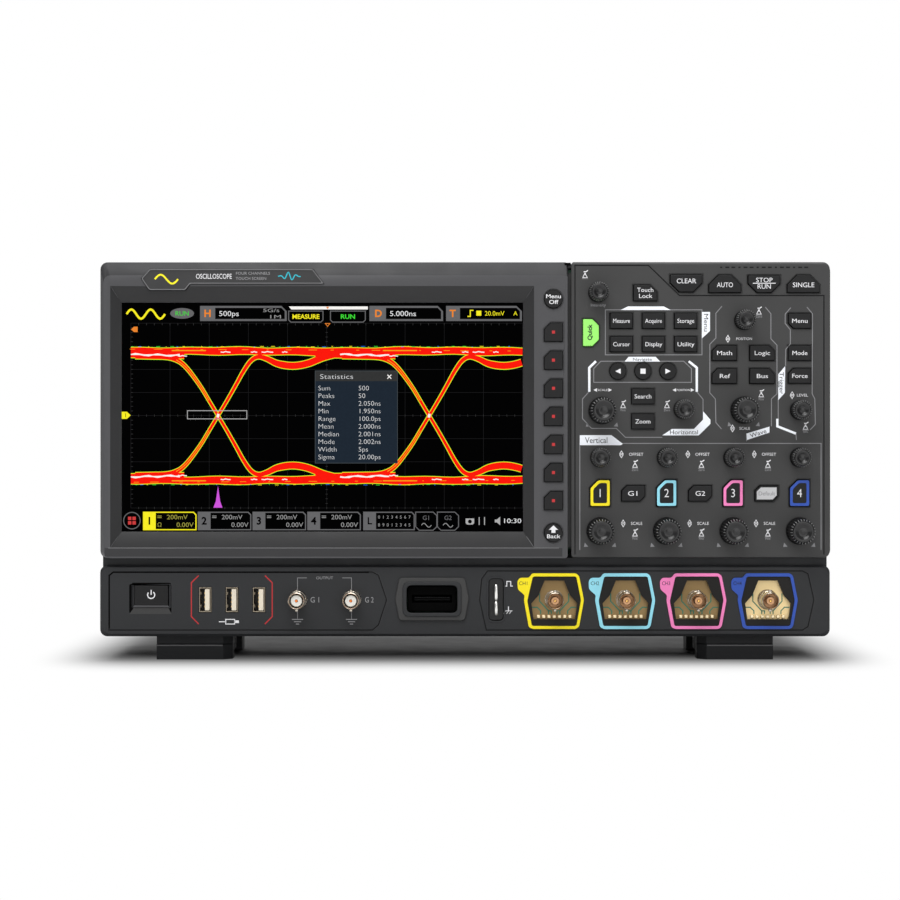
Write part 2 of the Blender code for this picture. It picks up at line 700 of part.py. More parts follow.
def chassis():
    """Folded sheet metal: a front plate for the boards, two sides and a floor."""
    sheet = 0.0012
    side = 0.2002
    back = 0.0500
    floor = 0.0185
    top = 0.2060
    inner = side - sheet / 2
    part = box("chassis", (-inner, inner), CHASSIS_PLATE_Y, (LIP_Z[0], top))
    side_y = (CHASSIS_PLATE_Y[0] + sheet / 3, back)
    for name, x in (("left", (-side, -side + sheet)), ("right", (side - sheet, side))):
        add(part, box(f"chassis_{name}", x, side_y, (floor, top - sheet / 2)))
    floor_z = (floor + sheet / 4, floor + sheet)
    add(part, box("chassis_floor", (-inner, inner), (-0.0300, back - sheet), floor_z))
    through = (CHASSIS_PLATE_Y[0] - OVERCUT, CHASSIS_PLATE_Y[1] + OVERCUT)
    holes = [rod("hole", 0.0040, "Y", through, (x, z), 12) for x in CABLE_HOLE_X for z in CABLE_HOLE_Z]
    cut(part, group("chassis_holes", holes))
    lower_front = (CHASSIS_PLATE_Y[0] - OVERCUT, SEAM + OVERCUT)
    wide = (-side - OVERCUT, side + OVERCUT)
    cut(part, box("chassis_notch", wide, lower_front, (floor - OVERCUT, LIP_Z[0] - 0.0004)))
    return finish(part, STEEL)


def main_board():
    """The acquisition board, with its heat sink and two shielding cans."""
    part = box("main_board", (-0.1850, 0.1900), MAIN_BOARD_Y, (0.0260, 0.2050))
    back = MAIN_BOARD_Y[1] - 0.0002
    base, height, thick, pitch = 0.004, 0.016, 0.0018, 0.0064
    places = [SINK_X[0] + 0.0005 + pitch * i for i in range(10)]
    fins = [box("fin", (x, x + thick), (back + base - OVERCUT, back + height), SINK_Z) for x in places]
    add(part, box("sink_base", SINK_X, (back, back + base), SINK_Z))
    add(part, group("sink_fins", fins))
    cans = [box("can", (x, x + 0.030), (back, back + 0.005), CAN_Z) for x in (0.035, 0.120)]
    add(part, group("shield_cans", cans))
    return finish(part, BOARD)


def keypad_board():
    """The board behind the keys, with a bush for each encoder shaft."""
    part = box("keypad_board", (0.0430, 0.2010), KEYPAD_BOARD_Y, (0.0630, 0.2200))
    front = PANEL_BACK + 0.0006
    shafts = [(x, z) for x, z, _ in KNOBS.values()]
    span = (front, KEYPAD_BOARD_Y[0] + 0.0005)
    add(part, group("encoders", [rod("bush", 0.0050, "Y", span, place, 10) for place in shafts]))
    bore = (front - OVERCUT, KEYPAD_BOARD_Y[0] - 0.0002)
    radius = SHAFT_RADIUS + 0.0004
    cut(part, group("encoder_bores", [rod("bore", radius, "Y", bore, place, 10) for place in shafts]))
    return finish(part, BOARD)


def probe_interface_board():
    """The board that carries the probe contacts, with a hole for each channel's barrel."""
    part = box("probe_interface_board", (0.0340, 0.1860), PROBE_BOARD_Y, (0.0210, 0.0505))
    span = (PROBE_BOARD_Y[0] - OVERCUT, PROBE_BOARD_Y[1] + OVERCUT)
    cut(part, group("barrel_holes", [rod("hole", 0.0053, "Y", span, (x, INPUT_Z)) for x in INPUT_X]))
    return finish(part, GOLD_BOARD)


def power_supply():
    """The supply in its vented box."""
    part = box("power_supply", SUPPLY_X, SUPPLY_Y, SUPPLY_Z)
    slot_x = (SUPPLY_X[0] + 0.010, SUPPLY_X[1] - 0.010)
    slot_y = (SUPPLY_Y[1] - 0.006, SUPPLY_Y[1] + 0.002)
    slots = [
        box("slot", slot_x, slot_y, (low, low + 0.005))
        for low in (0.080, 0.092, 0.104, 0.146, 0.158, 0.170)
    ]
    cut(part, group("supply_slots", slots))
    return finish(part, STEEL)


def fan_frame():
    """The fan's square frame, with four spokes that hold the motor."""
    part = box("fan_frame", around(FAN_X, FAN_HALF), FAN_Y, around(FAN_Z, FAN_HALF))
    through = (FAN_Y[0] - OVERCUT, FAN_Y[1] + OVERCUT)
    cut(part, rod("fan_bore", FAN_BORE, "Y", through, (FAN_X, FAN_Z), 32))
    spokes = (FAN_Y[1] - 0.0030, FAN_Y[1] - 0.0004)
    reach, half = FAN_BORE + 0.0008, 0.002
    add(part, rod("motor_plate", FAN_HUB, "Y", spokes, (FAN_X, FAN_Z), 20))
    add(part, box("spoke_level", around(FAN_X, reach), spokes, around(FAN_Z, half)))
    add(part, box("spoke_upright", around(FAN_X, half), spokes, around(FAN_Z, reach)))
    return finish(part, BLACK_PLASTIC)


def fan_rotor():
    """A hub with pitched blades, its origin on the motor's axis."""
    middle = 0.0450
    tip = FAN_BORE - 0.0014
    root = FAN_HUB - 0.0015
    part = rod("fan_rotor", FAN_HUB, "Y", around(middle, 0.0090), (FAN_X, FAN_Z), 20)
    blades = []
    for number in range(BLADES):
        blade = box("blade", around(0, 0.0010), around(0, 0.0085), (root, tip))
        blade.data.transform(Matrix.Translation(blade.location))
        blade.data.transform(Matrix.Rotation(-BLADE_PITCH, 4, "Z"))
        blade.location = (FAN_X, middle, FAN_Z)
        blade.rotation_euler = (0, 2 * pi * number / BLADES, 0)
        blades.append(blade)
    add(part, group("blades", blades))
    return finish(part, BLACK_PLASTIC)


def connector(name, x):
    """A coaxial input: bayonet barrel, insulator, flange and body."""
    profile = [
        (0, 0.0105),
        (0.0022, 0.0105),
        (0.0023, 0.0020),
        (0.0040, 0.0020),
        (0.0040, 0.0125),
        (0.0048, 0.0125),
        (0.0048, -0.0049),
        (0.0070, -0.0049),
        (0.0070, -0.0065),
        (0.0055, -0.0065),
        (0.0055, -0.0255),
        (0, -0.0255),
    ]
    part = turned(name, profile, 16, (x, CONNECTOR_FACE, INPUT_Z))
    lug_y = CONNECTOR_FACE - 0.0085
    lugs = [
        rod("lug", 0.0010, "Z", (INPUT_Z + low, INPUT_Z + low + 0.0012), (x, lug_y), 8)
        for low in (0.0044, -0.0056)
    ]
    add(part, group(name + "_lugs", lugs))
    return finish(part, NICKEL)


def usb_ports():
    part = box("usb_ports", (-0.1506, -0.1108), (-0.0405, -0.0310), (0.0262, 0.0430))
    shells = [prism("shell", usb_outline(x), "Y", (-0.0467, -0.0400)) for x in USB_X]
    add(part, group("usb_shells", shells))
    slots = [prism("slot", usb_outline(x, -0.00045), "Y", (-0.0480, -0.0350)) for x in USB_X]
    cut(part, group("usb_slots", slots))
    return finish(part, NICKEL)


def logic_port():
    middle = 0.03505
    part = box("logic_port", (-0.0320, -0.0050), (-0.0440, -0.0320), (middle - 0.007, middle + 0.007))
    slot_x = (-0.0298, -0.0073)
    cut(part, box("logic_slot", slot_x, (-0.0450, -0.0360), (middle - 0.0022, middle + 0.0022)))
    return finish(part, BLACK_PLASTIC)


def calibration_terminals():
    """The block with the probe test clips."""
    outline = rounded((0.0133, 0.0217), (0.0229, 0.0467), 0.0028, steps=2)
    part = prism("calibration_terminals", outline, "Y", (-0.0452, -0.0380))
    clips = [box("clip", (0.0167, 0.0183), (-0.0492, -0.0448), (z, z + 0.0050)) for z in (0.0375, 0.0272)]
    add(part, group("clips", clips))
    return finish(part, BLACK_PLASTIC)


def rear_io_panel():
    """A metal plate with the network, video, serial and coaxial sockets."""
    part = box("rear_io_panel", (-0.0630, 0.1870), REAR_PLATE_Y, (0.0210, 0.0550))
    middle = (REAR_OPENING_Z[0] + REAR_OPENING_Z[1]) / 2
    thin = 0.0006
    shells = []
    slots = []
    for x, width, height in REAR_SOCKETS:
        half, rise = width / 2, height / 2
        shells.append(box("shell", around(x, half), (0.0480, 0.0600), around(middle, rise)))
        slots.append(box("slot", around(x, half - thin), (0.0500, 0.0620), around(middle, rise - thin)))
    barrels = [rod("barrel", 0.0048, "Y", (0.0500, 0.0664), (x, middle)) for x in REAR_COAXIAL_X]
    bores = [rod("bore", 0.0040, "Y", (0.0600, 0.0674), (x, middle)) for x in REAR_COAXIAL_X]
    add(part, group("rear_sockets", shells + barrels))
    cut(part, group("rear_socket_slots", slots + bores))
    return finish(part, STEEL)


def power_inlet():
    """The mains inlet with its three pins."""
    x = (INLET_X - 0.0135, INLET_X + 0.0135)
    z = (INLET_Z - 0.0098, INLET_Z + 0.0098)
    part = box("power_inlet", x, (0.0400, 0.0625), z)
    flange_x = (x[0] - 0.004, x[1] + 0.004)
    flange_z = (z[0] - 0.003, z[1] + 0.003)
    add(part, box("inlet_flange", flange_x, REAR_PLATE_Y, flange_z))
    socket = [(x[0] + 0.002, z[0] + 0.002), (x[1] - 0.002, z[0] + 0.002), (x[1] - 0.002, z[1] - 0.006)]
    socket += [(x[1] - 0.006, z[1] - 0.002), (x[0] + 0.006, z[1] - 0.002), (x[0] + 0.002, z[1] - 0.006)]
    cut(part, prism("inlet_socket", socket, "Y", (0.0460, 0.0640)))
    pins = [
        box("pin", (INLET_X + side - 0.001, INLET_X + side + 0.001), (0.0450, 0.0600), (low, low + 0.004))
        for side, low in ((-0.007, INLET_Z - 0.004), (0.007, INLET_Z - 0.004), (0, INLET_Z))
    ]
    add(part, group("inlet_pins", pins))
    return finish(part, BLACK_PLASTIC)


def carrying_handle():
    """A U-shaped handle, its origin on the pivot line through its two pins."""
    arm = HANDLE_HALF - HANDLE_BAR
    outline = [
        (-HANDLE_HALF, -0.0040),
        (-arm, -0.0040),
        (-arm, HANDLE_REACH - 0.011),
        (arm, HANDLE_REACH - 0.011),
        (arm, -0.0040),
        (HANDLE_HALF, -0.0040),
        (HANDLE_HALF, HANDLE_REACH - 0.004),
        (HANDLE_HALF - 0.004, HANDLE_REACH),
        (-HANDLE_HALF + 0.004, HANDLE_REACH),
        (-HANDLE_HALF, HANDLE_REACH - 0.004),
    ]
    part = prism("carrying_handle", outline, "Z", (-0.0034, 0.0034), HANDLE_PIVOT)
    pins = []
    for side in (-1, 1):
        x = sorted((side * (HANDLE_HALF - OVERCUT), side * (POCKET_X + 0.0025)))
        pins.append(rod("pin", 0.0022, "X", x, HANDLE_PIVOT[1:], 12))
    add(part, group("handle_pins", pins))
    return finish(part, DARK_PLASTIC)


def bench_leg(name, side):
    """A fold-out leg, its origin on the pivot line through its two pins."""
    centre = side * FOOT_X
    pivot = (centre, LEG_PIVOT_Y, LEG_PIVOT_Z)
    profile = [
        (0.0, -0.0025),
        (LEG_REACH - 0.002, -0.0025),
        (LEG_REACH, -0.0005),
        (LEG_REACH, 0.0025),
        (0.0, 0.0025),
    ]
    part = prism(name, profile, "X", (-LEG_HALF, LEG_HALF), pivot)
    barrel = rod(name + "_barrel", 0.0036, "X", around(centre, LEG_HALF), pivot[1:], 14)
    pins = rod(name + "_pins", 0.0016, "X", around(centre, FOOT_HALF - 0.00075), pivot[1:], 10)
    add(part, barrel, pins)
    return finish(part, DARK_PLASTIC)


def knob(name, x, z, form):
    """A knob and its shaft, its origin on the shaft's axis at the panel's face."""
    base, nose, height = form
    dish = 0.0007
    profile = [
        (0, height - dish),
        (nose - 0.0012, height - dish),
        (nose - 0.0005, height),
        (nose, height - 0.0004),
        (base - 0.0006, 0.0030),
        (base, 0.0018),
        (base, KNOB_GAP),
        (SHAFT_RADIUS, KNOB_GAP),
        (SHAFT_RADIUS, -0.0070),
        (0, -0.0070),
    ]
    return finish(turned(name, profile, 16, (x, CONTROL_FACE, z)), BLACK_PLASTIC)


def single_key(name, key, look):
    """A key cap with a flange behind the panel that keeps it in."""
    x, z, width, height, _ = key
    part = prism(name, key_outline(key), "Y", (CONTROL_FACE - KEY_TOP, FLANGE_BACK))
    half, rise = width / 2 + FLANGE_RIM, height / 2 + FLANGE_RIM
    flange_y = (FLANGE_FRONT, FLANGE_BACK)
    add(part, box(name + "_flange", around(x, half), flange_y, around(z, rise)))
    return finish(part, look)


def key_mat(name, keys, rectangles, face, look):
    """The keys of a group, moulded on one sheet behind the panel."""
    x, z = rectangles[0]
    part = box(name, x, (FLANGE_FRONT, FLANGE_BACK), z)
    for number, (x, z) in enumerate(rectangles[1:]):
        add(part, box(f"{name}_web_{number}", x, (FLANGE_FRONT, FLANGE_BACK), z))
    caps = [prism("cap", key_outline(key), "Y", (face - KEY_TOP, FLANGE_BACK - 0.0005)) for key in keys]
    add(part, group(name + "_caps", caps))
    return finish(part, look)


def power_key():
    x, z = power_outline()
    part = box("key_power", x, (CONNECTOR_FACE - 0.0006, -0.0420), z)
    wide = (x[0] - 0.0012, x[1] + 0.0012)
    tall = (z[0] - 0.0012, z[1] + 0.0012)
    add(part, box("key_power_flange", wide, (-0.0431, -0.0417), tall))
    return finish(part, BLACK_PLASTIC)


def build():
    display_bezel()
    badge_plate()
    control_panel()
    connector_panel()
    rear_cover()
    touch_glass()
    lcd_panel()
    chassis()
    main_board()
    keypad_board()
    probe_interface_board()
    power_supply()
    fan_frame()
    fan_rotor()
    for number, x in enumerate(INPUT_X, start=1):
        connector(f"bnc_channel_{number}", x)
    for number, x in enumerate(GENERATOR_X, start=1):
        connector(f"bnc_generator_{number}", x)
    usb_ports()
    logic_port()
    calibration_terminals()
    rear_io_panel()
    power_inlet()
    carrying_handle()
    bench_leg("bench_leg_left", -1)
    bench_leg("bench_leg_right", 1)
    for name, (x, z, form) in KNOBS.items():
        knob(name, x, z, form)
    looks = {"key_quick": GREEN_PLASTIC, "key_default": WHITE_PLASTIC}
    for name, key in SINGLE_KEYS.items():
        single_key(name, key, looks.get(name, BLACK_PLASTIC))
    for name, (keys, rectangles) in KEY_MATS.items():
        key_mat(name, keys, rectangles, CONTROL_FACE, BLACK_PLASTIC)
    soft_web = [((0.0436, 0.0551), (0.0668, 0.2088))]
    key_mat("softkey_pad", SOFT_KEYS, soft_web, BEZEL_FACE, BLACK_PLASTIC)
    power_key()


clear_scene()
PARTS = new_collection("oscilloscope")
CUTTERS = new_collection("cutters")
build()
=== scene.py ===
"""The looks of the bench oscilloscope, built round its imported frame.

Everything is in metres in the frame's axes: the front faces -Y, +X is to the operator's
right and the feet stand on Z = 0. MM turns the drawing sizes below into metres.
"""

from math import cos, exp, hypot, pi, radians, sin

import bmesh
import bpy
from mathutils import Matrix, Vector


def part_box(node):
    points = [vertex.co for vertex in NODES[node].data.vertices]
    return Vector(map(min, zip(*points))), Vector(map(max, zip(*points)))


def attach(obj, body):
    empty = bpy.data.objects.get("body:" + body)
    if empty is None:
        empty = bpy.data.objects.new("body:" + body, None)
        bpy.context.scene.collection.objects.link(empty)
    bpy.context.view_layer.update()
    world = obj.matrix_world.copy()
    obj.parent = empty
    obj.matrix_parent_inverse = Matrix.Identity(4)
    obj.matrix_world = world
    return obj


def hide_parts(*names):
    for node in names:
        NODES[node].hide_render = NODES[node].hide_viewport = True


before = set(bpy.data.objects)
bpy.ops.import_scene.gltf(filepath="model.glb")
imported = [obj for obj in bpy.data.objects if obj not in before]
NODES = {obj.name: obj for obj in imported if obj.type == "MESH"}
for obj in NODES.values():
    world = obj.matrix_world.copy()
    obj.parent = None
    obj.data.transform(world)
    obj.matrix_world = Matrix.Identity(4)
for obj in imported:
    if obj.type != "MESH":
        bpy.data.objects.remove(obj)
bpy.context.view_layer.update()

MM = 0.001
CASE = "case"
LAYER = 0.00003

BEZEL_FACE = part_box("display_bezel")[0].y
CONTROL_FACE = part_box("control_panel")[0].y
CONNECTOR_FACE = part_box("connector_panel")[0].y


# Materials ---------------------------------------------------------------------------

CLOUD_SCALE = 55
BACKLIGHT_RIPPLE = 0.12


def set_inputs(tree, made, values):
    """Sets a node's inputs; a value that is another node's output is linked."""
    for name, value in values.items():
        if isinstance(value, bpy.types.NodeSocket):
            tree.links.new(value, made.inputs[name])
        else:
            made.inputs[name].default_value = value


def shade(tree, kind, output, values=None, **settings):
    """The named output of a new shader node."""
    made = tree.nodes.new("ShaderNode" + kind)
    for name, value in settings.items():
        setattr(made, name, value)
    set_inputs(tree, made, values or {})
    return made.outputs[output]


def new_material(name):
    """A material, its node tree and its shader."""
    material = bpy.data.materials.new(name)
    material.use_nodes = True
    return material, material.node_tree, material.node_tree.nodes["Principled BSDF"]


def rgb(colour):
    """A colour from three channels, or from one number for a neutral grey."""
    return colour if isinstance(colour, tuple) else (colour,) * 3


def surface(
    name, colour, roughness, metallic=0.0, grain=0.04, grain_size=0.5, mottle=0.06, gloss=0.35, stretch=None
):
    """A moulded or plated finish: fine grain, a faint colour cloud and uneven roughness."""
    material, tree, shader = new_material(name)
    place = shade(tree, "TexCoord", "Object")
    along = shade(tree, "Mapping", "Vector", {"Vector": place, "Scale": stretch}) if stretch else place
    fine = shade(tree, "TexNoise", "Fac", {"Vector": along, "Scale": 1 / (grain_size * MM), "Detail": 3})
    cloud = shade(tree, "TexNoise", "Fac", {"Vector": place, "Scale": CLOUD_SCALE, "Detail": 5})
    dark = [channel * (1 - mottle) for channel in rgb(colour)]
    light = [min(1, channel * (1 + mottle) + mottle * 0.01) for channel in rgb(colour)]
    tint = {"A": (*dark, 1), "B": (*light, 1), "Factor": cloud}
    spread = {"Value": cloud, "From Min": 0.35, "From Max": 0.65}
    spread.update({"To Min": max(0.02, roughness - 0.05), "To Max": roughness + 0.05})
    relief = {"Height": fine, "Strength": grain, "Distance": grain_size * MM * 0.4}
    look = {
        "Base Color": shade(tree, "Mix", "Result", tint, data_type="RGBA"),
        "Roughness": shade(tree, "MapRange", "Result", spread),
        "Normal": shade(tree, "Bump", "Normal", relief),
        "Metallic": metallic,
        "Specular IOR Level": gloss,
    }
    set_inputs(tree, shader, look)
    return material


def moulding(name, colour, roughness=0.5, gloss=0.3):
    """Grained case plastic."""
    return surface(name, colour, roughness, grain=0.12, mottle=0.05, gloss=gloss)


def brushed(name, colour, roughness):
    """Rolled metal with fine scratches along X."""
    return surface(name, colour, roughness, metallic=1.0, grain=0.08, mottle=0.05, stretch=(1, 12, 12))


def ink(name, colour, roughness=0.6, mottle=0.06, gloss=0.2):
    return surface(name, colour, roughness, mottle=mottle, gloss=gloss)


def lit(name, colour):
    """Light from the display: an even colour with the faint unevenness of a backlight."""
    material, tree, shader = new_material("glow_" + name)
    noise = shade(tree, "TexNoise", "Fac", {"Vector": shade(tree, "TexCoord", "Object"), "Scale": 900})
    level = {"Value": noise, "To Min": 1 - BACKLIGHT_RIPPLE, "To Max": 1 + BACKLIGHT_RIPPLE}
    look = {
        "Base Color": (0, 0, 0, 1),
        "Roughness": 0.6,
        "Specular IOR Level": 0.0,
        "Emission Color": (*rgb(colour), 1),
        "Emission Strength": shade(tree, "MapRange", "Result", level),
    }
    set_inputs(tree, shader, look)
    return material


def clear_glass(name):
    """Coated cover glass: no mirror straight on, and a soft one at a steep slant."""
    material, tree, shader = new_material(name)
    tree.nodes.remove(shader)
    noise = shade(tree, "TexNoise", "Fac", {"Scale": 300})
    smear = shade(tree, "MapRange", "Result", {"Value": noise, "To Min": 0.1, "To Max": 0.22})
    edge = shade(tree, "Fresnel", "Fac", {"IOR": 1.2})
    coating = shade(tree, "MapRange", "Result", {"Value": edge, "From Min": 0.03})
    clear = shade(tree, "BsdfTransparent", "BSDF")
    mirror = shade(tree, "BsdfGlossy", "BSDF", {"Roughness": smear})
    mix = shade(tree, "MixShader", "Shader", {"Fac": coating, 1: clear, 2: mirror})
    set_inputs(tree, tree.nodes["Material Output"], {"Surface": mix})
    return material


BEZEL = moulding("bezel_moulding", (0.062, 0.062, 0.066), gloss=0.35)
PANEL = moulding("panel_moulding", 0.045, 0.58)
CASE_PLASTIC = moulding("case_moulding", (0.022, 0.023, 0.025), 0.55)
# Darker grey for the sloping faces of the screen window: painted shade.
WINDOW_SLOPE_SHADE = moulding("bezel_window_painted_shade", (0.021, 0.021, 0.022))
# Mid grey: painted shade on the bezel's top strip and bottom band, painted glints along the connector bays,
# and the colour of the logic socket's contacts.
SHADE_GLINT_CONTACT_GREY = moulding("painted_shade_glint_contact_grey", (0.032, 0.032, 0.034))
# Light grey for painted highlights: the badge's raised rim, the lower right mitre, the bezel's lower edge and
# the ridges of the front feet.
HIGHLIGHT_GREY = surface("painted_highlight_grey", (0.16, 0.16, 0.165), 0.35, grain=0.05)
PLATE = surface("badge_plate_satin", (0.036, 0.036, 0.037), 0.4, grain=0.05)
# Near-black for strips in the floors of grooves and slots: painted shade.
GROOVE_SHADE = surface("groove_painted_shade", (0.006, 0.006, 0.0065), 0.6, grain=0.05, gloss=0.2)
# Near-black for painted shade: in the seam between the front panels, along the left bay's edge, inside the
# logic socket and round the power key.
DEEP_SHADE = surface("painted_deep_shade", 0.0012, 0.8, grain=0.05, gloss=0.05)
WELL = surface("input_well", (0.014, 0.013, 0.012), 0.6, grain=0.08, gloss=0.2)
KEY = surface("key_moulding", (0.005, 0.005, 0.0055), 0.5, grain=0.06, gloss=0.3)
KNOB = surface("knob_rubber", (0.0035, 0.0035, 0.0038), 0.45, grain=0.1, gloss=0.3)
KNOB_NOSE = surface("knob_nose", (0.0055, 0.0055, 0.006), 0.24, grain=0.03, gloss=0.5)
# Light grey on the knobs' flute crests: painted highlights.
CREST_HIGHLIGHT = surface("knob_crest_highlight", 0.36, 0.5)
RUBBER = surface("rubber", 0.01, 0.75, grain=0.25, grain_size=0.8, gloss=0.2)
BLACK = surface("black_moulding", (0.006, 0.006, 0.0065), 0.4, grain=0.05, gloss=0.4)
GREEN_KEY = surface("green_key", (0.33, 0.9, 0.16), 0.45, grain=0.05, mottle=0.03)
WHITE_KEY = surface("white_key", (0.52, 0.52, 0.53), 0.45, grain=0.05, mottle=0.03)
TONGUE = surface("socket_tongue", (0.8, 0.72, 0.58), 0.4, gloss=0.3)
INSULATOR = surface("white_insulator", (0.78, 0.77, 0.72), 0.4, gloss=0.4)
SOLDER_MASK = surface("solder_mask_teal", (0.01, 0.19, 0.125), 0.4, grain=0.06)
CIRCUIT = surface("circuit_board", (0.012, 0.085, 0.04), 0.38, grain=0.18, grain_size=1.4, mottle=0.25)
GLASS = clear_glass("cover_glass")

WHITE_INK = ink("white_ink", (0.8, 0.8, 0.82), mottle=0.04)
GREY_INK = ink("grey_ink", (0.3, 0.3, 0.31), mottle=0.08)
LINE_INK = ink("line_ink", (0.24, 0.24, 0.25), mottle=0.08)
TAB_INK = ink("tab_ink", (0.88, 0.91, 0.97), 0.55, mottle=0.05)
DARK_INK = ink("dark_ink", (0.02, 0.02, 0.024))
RED_INK = ink("red_ink", (0.5, 0.028, 0.032), 0.5, gloss=0.25)
YELLOW_INK = ink("yellow_ink", (0.9, 0.8, 0.02), 0.5, gloss=0.25)
TEAL_INK = ink("teal_ink", (0.03, 0.45, 0.55), 0.5, gloss=0.25)

SILVER = surface("bright_terminal", (0.88, 0.87, 0.85), 0.22, 1.0, mottle=0.05)
NICKEL = surface("nickel_plate", (0.6, 0.54, 0.46), 0.2, 1.0, mottle=0.1)
SHELL = surface("connector_shell", (0.34, 0.29, 0.22), 0.3, 1.0, mottle=0.12)
GOLD = surface("gold_plate", (0.86, 0.52, 0.16), 0.22, 1.0, mottle=0.1)
# The board's brownish gold is the plating darkened, a painted shade; the lighter copy below, for channel 4,
# is a painted reflection.
CONTACT_GOLD = surface("contact_board_gold", (0.31, 0.205, 0.085), 0.45, 0.4, grain=0.1, mottle=0.12)
GOLD_REFLECTION = surface("contact_board_painted_reflection", (1.0, 0.74, 0.38), 0.4, 0.3, grain=0.1, mottle=0.08)
PAD_GOLD = surface("pad_gold", (1.0, 0.8, 0.5), 0.3, 0.6)
ORANGE_PIN = surface("copper_pin", (0.9, 0.24, 0.05), 0.3, 0.6, grain=0.03)
AMBER = surface("amber_insulator", (0.55, 0.3, 0.15), 0.3, 0.5, gloss=0.5)
STEEL = brushed("brushed_steel", (0.55, 0.56, 0.58), 0.34)
TRAY = brushed("display_tray", (0.45, 0.46, 0.48), 0.38)

GLOW_BLACK = lit("black", (0.0009, 0.0009, 0.001))
GLOW_GRID = lit("grid", (0.014, 0.014, 0.015))
GLOW_TICK = lit("tick", 0.035)
GLOW_PANEL = lit("panel", (0.135, 0.135, 0.14))
GLOW_DIM = lit("dim", 0.3)
GLOW_GREY = lit("grey", 0.42)
GLOW_TEXT = lit("text", (0.8, 0.81, 0.82))
GLOW_WHITE = lit("white", (0.95, 0.93, 0.9))
GLOW_GREEN = lit("green", (0.05, 0.72, 0.04))
GLOW_YELLOW = lit("yellow", (0.95, 0.86, 0.02))
GLOW_YELLOW_DIM = lit("yellow_dim", (0.34, 0.32, 0.06))
GLOW_AMBER = lit("amber", (0.95, 0.38, 0.01))
GLOW_RED = lit("red", (0.98, 0.01, 0.004))
GLOW_ORANGE = lit("orange", (0.85, 0.24, 0.03))
GLOW_BLUE = lit("blue", (0.02, 0.16, 0.8))
GLOW_PURPLE = lit("purple", (0.62, 0.09, 0.72))
GLOW_SLATE = lit("slate", (0.014, 0.022, 0.034))
GLOW_HEADER = lit("header", (0.035, 0.036, 0.036))
GLOW_EDGE = lit("edge", (0.06, 0.072, 0.08))
GLOW_ICON = lit("icon", (0.62, 0.05, 0.05))
CHANNEL_COLOURS = [(0.98, 0.8, 0.002), (0.3, 0.74, 0.88), (0.94, 0.23, 0.54), (0.022, 0.08, 0.44)]
CHANNEL_PAINT = [
    surface(f"channel_{number}_paint", colour, 0.42, grain=0.06, mottle=0.04)
    for number, colour in enumerate(CHANNEL_COLOURS, start=1)
]


# Shapes ------------------------------------------------------------------------------

# A mitre divides by no less than this cosine, so that sharp corners stay short.
SHORTEST_MITRE = 0.35

# A fluted ring has this many points to a flute, and the last half of them is sunk.
STEPS_PER_FLUTE = 6


def centre(node):
    """The middle of a node seen from the front, as X and Z."""
    low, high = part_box(node)
    return (low.x + high.x) / 2, (low.z + high.z) / 2


def rectangle(x, z, width, height):
    corners = ((-1, -1), (1, -1), (1, 1), (-1, 1))
    return [(x + side * width / 2, z + end * height / 2) for side, end in corners]


def cut_corners(x, z, width, height, size):
    """A rectangle about (x, z) whose two corners at high z are cut at 45 degrees."""
    side, top = width / 2, z + height / 2
    outline = [(x - side, z - height / 2), (x + side, z - height / 2), (x + side, top - size)]
    return outline + [(x + side - size, top), (x - side + size, top), (x - side, top - size)]


def circle(x, z, radius, segments=32):
    turns = (2 * pi * i / segments for i in range(segments))
    return [(x + radius * cos(turn), z + radius * sin(turn)) for turn in turns]


def ring(x, z, outer, inner, segments=40):
    return [circle(x, z, outer, segments), circle(x, z, inner, segments)]


def soften(points, radius, steps=4):
    """An outline with its corners turned into arcs, drawn as quadratic curves."""
    result = []
    for i, corner in enumerate(points):
        before, after = Vector(points[i - 1]), Vector(points[(i + 1) % len(points)])
        corner = Vector(corner)
        reach = min(radius, (before - corner).length * 0.45, (after - corner).length * 0.45)
        start = corner + (before - corner).normalized() * reach
        end = corner + (after - corner).normalized() * reach
        for step in range(steps + 1):
            t = step / steps
            result.append(tuple(start * (1 - t) ** 2 + corner * 2 * t * (1 - t) + end * t * t))
    return result


def mitred(here, one, two, distance):
    """A corner between two directions, moved sideways onto lines at this distance."""
    one, two = one.normalized(), two.normalized()
    normal = Vector((one.y + two.y, -one.x - two.x)).normalized()
    reach = distance / max(SHORTEST_MITRE, normal.dot(Vector((one.y, -one.x))))
    return here.x + normal.x * reach, here.y + normal.y * reach


def offset(points, distance):
    """A closed outline moved sideways by a distance, mitred; the sign picks the side."""
    result = []
    for i, point in enumerate(points):
        here = Vector(point)
        one, two = here - Vector(points[i - 1]), Vector(points[(i + 1) % len(points)]) - here
        result.append(mitred(here, one, two, distance))
    return result


def offset_line(points, distance):
    """An open line moved sideways, mitred at its corners."""
    result = []
    for i, point in enumerate(points):
        here = Vector(point)
        one = here - Vector(points[i - 1]) if i else Vector(points[1]) - here
        two = Vector(points[i + 1]) - here if i < len(points) - 1 else one
        result.append(mitred(here, one, two, distance))
    return result


def stroke(points, width):
    """The outline of an open line of even width."""
    return offset_line(points, width / 2) + offset_line(points, -width / 2)[::-1]


def loop_line(points, width):
    """Two outlines that leave an even line along a closed outline."""
    return [offset(points, width / 2), offset(points, -width / 2)]


def scaled(points, factor=MM):
    return [(x * factor, z * factor) for x, z in points]


def shifted(points, x, z, factor=1):
    """Points about the origin, scaled and moved to (x, z)."""
    return [(x + across * factor, z + up * factor) for across, up in points]


def to_mesh(form, name="shape"):
    bmesh.ops.recalc_face_normals(form, faces=form.faces)
    mesh = bpy.data.meshes.new(name)
    form.to_mesh(mesh)
    form.free()
    return mesh


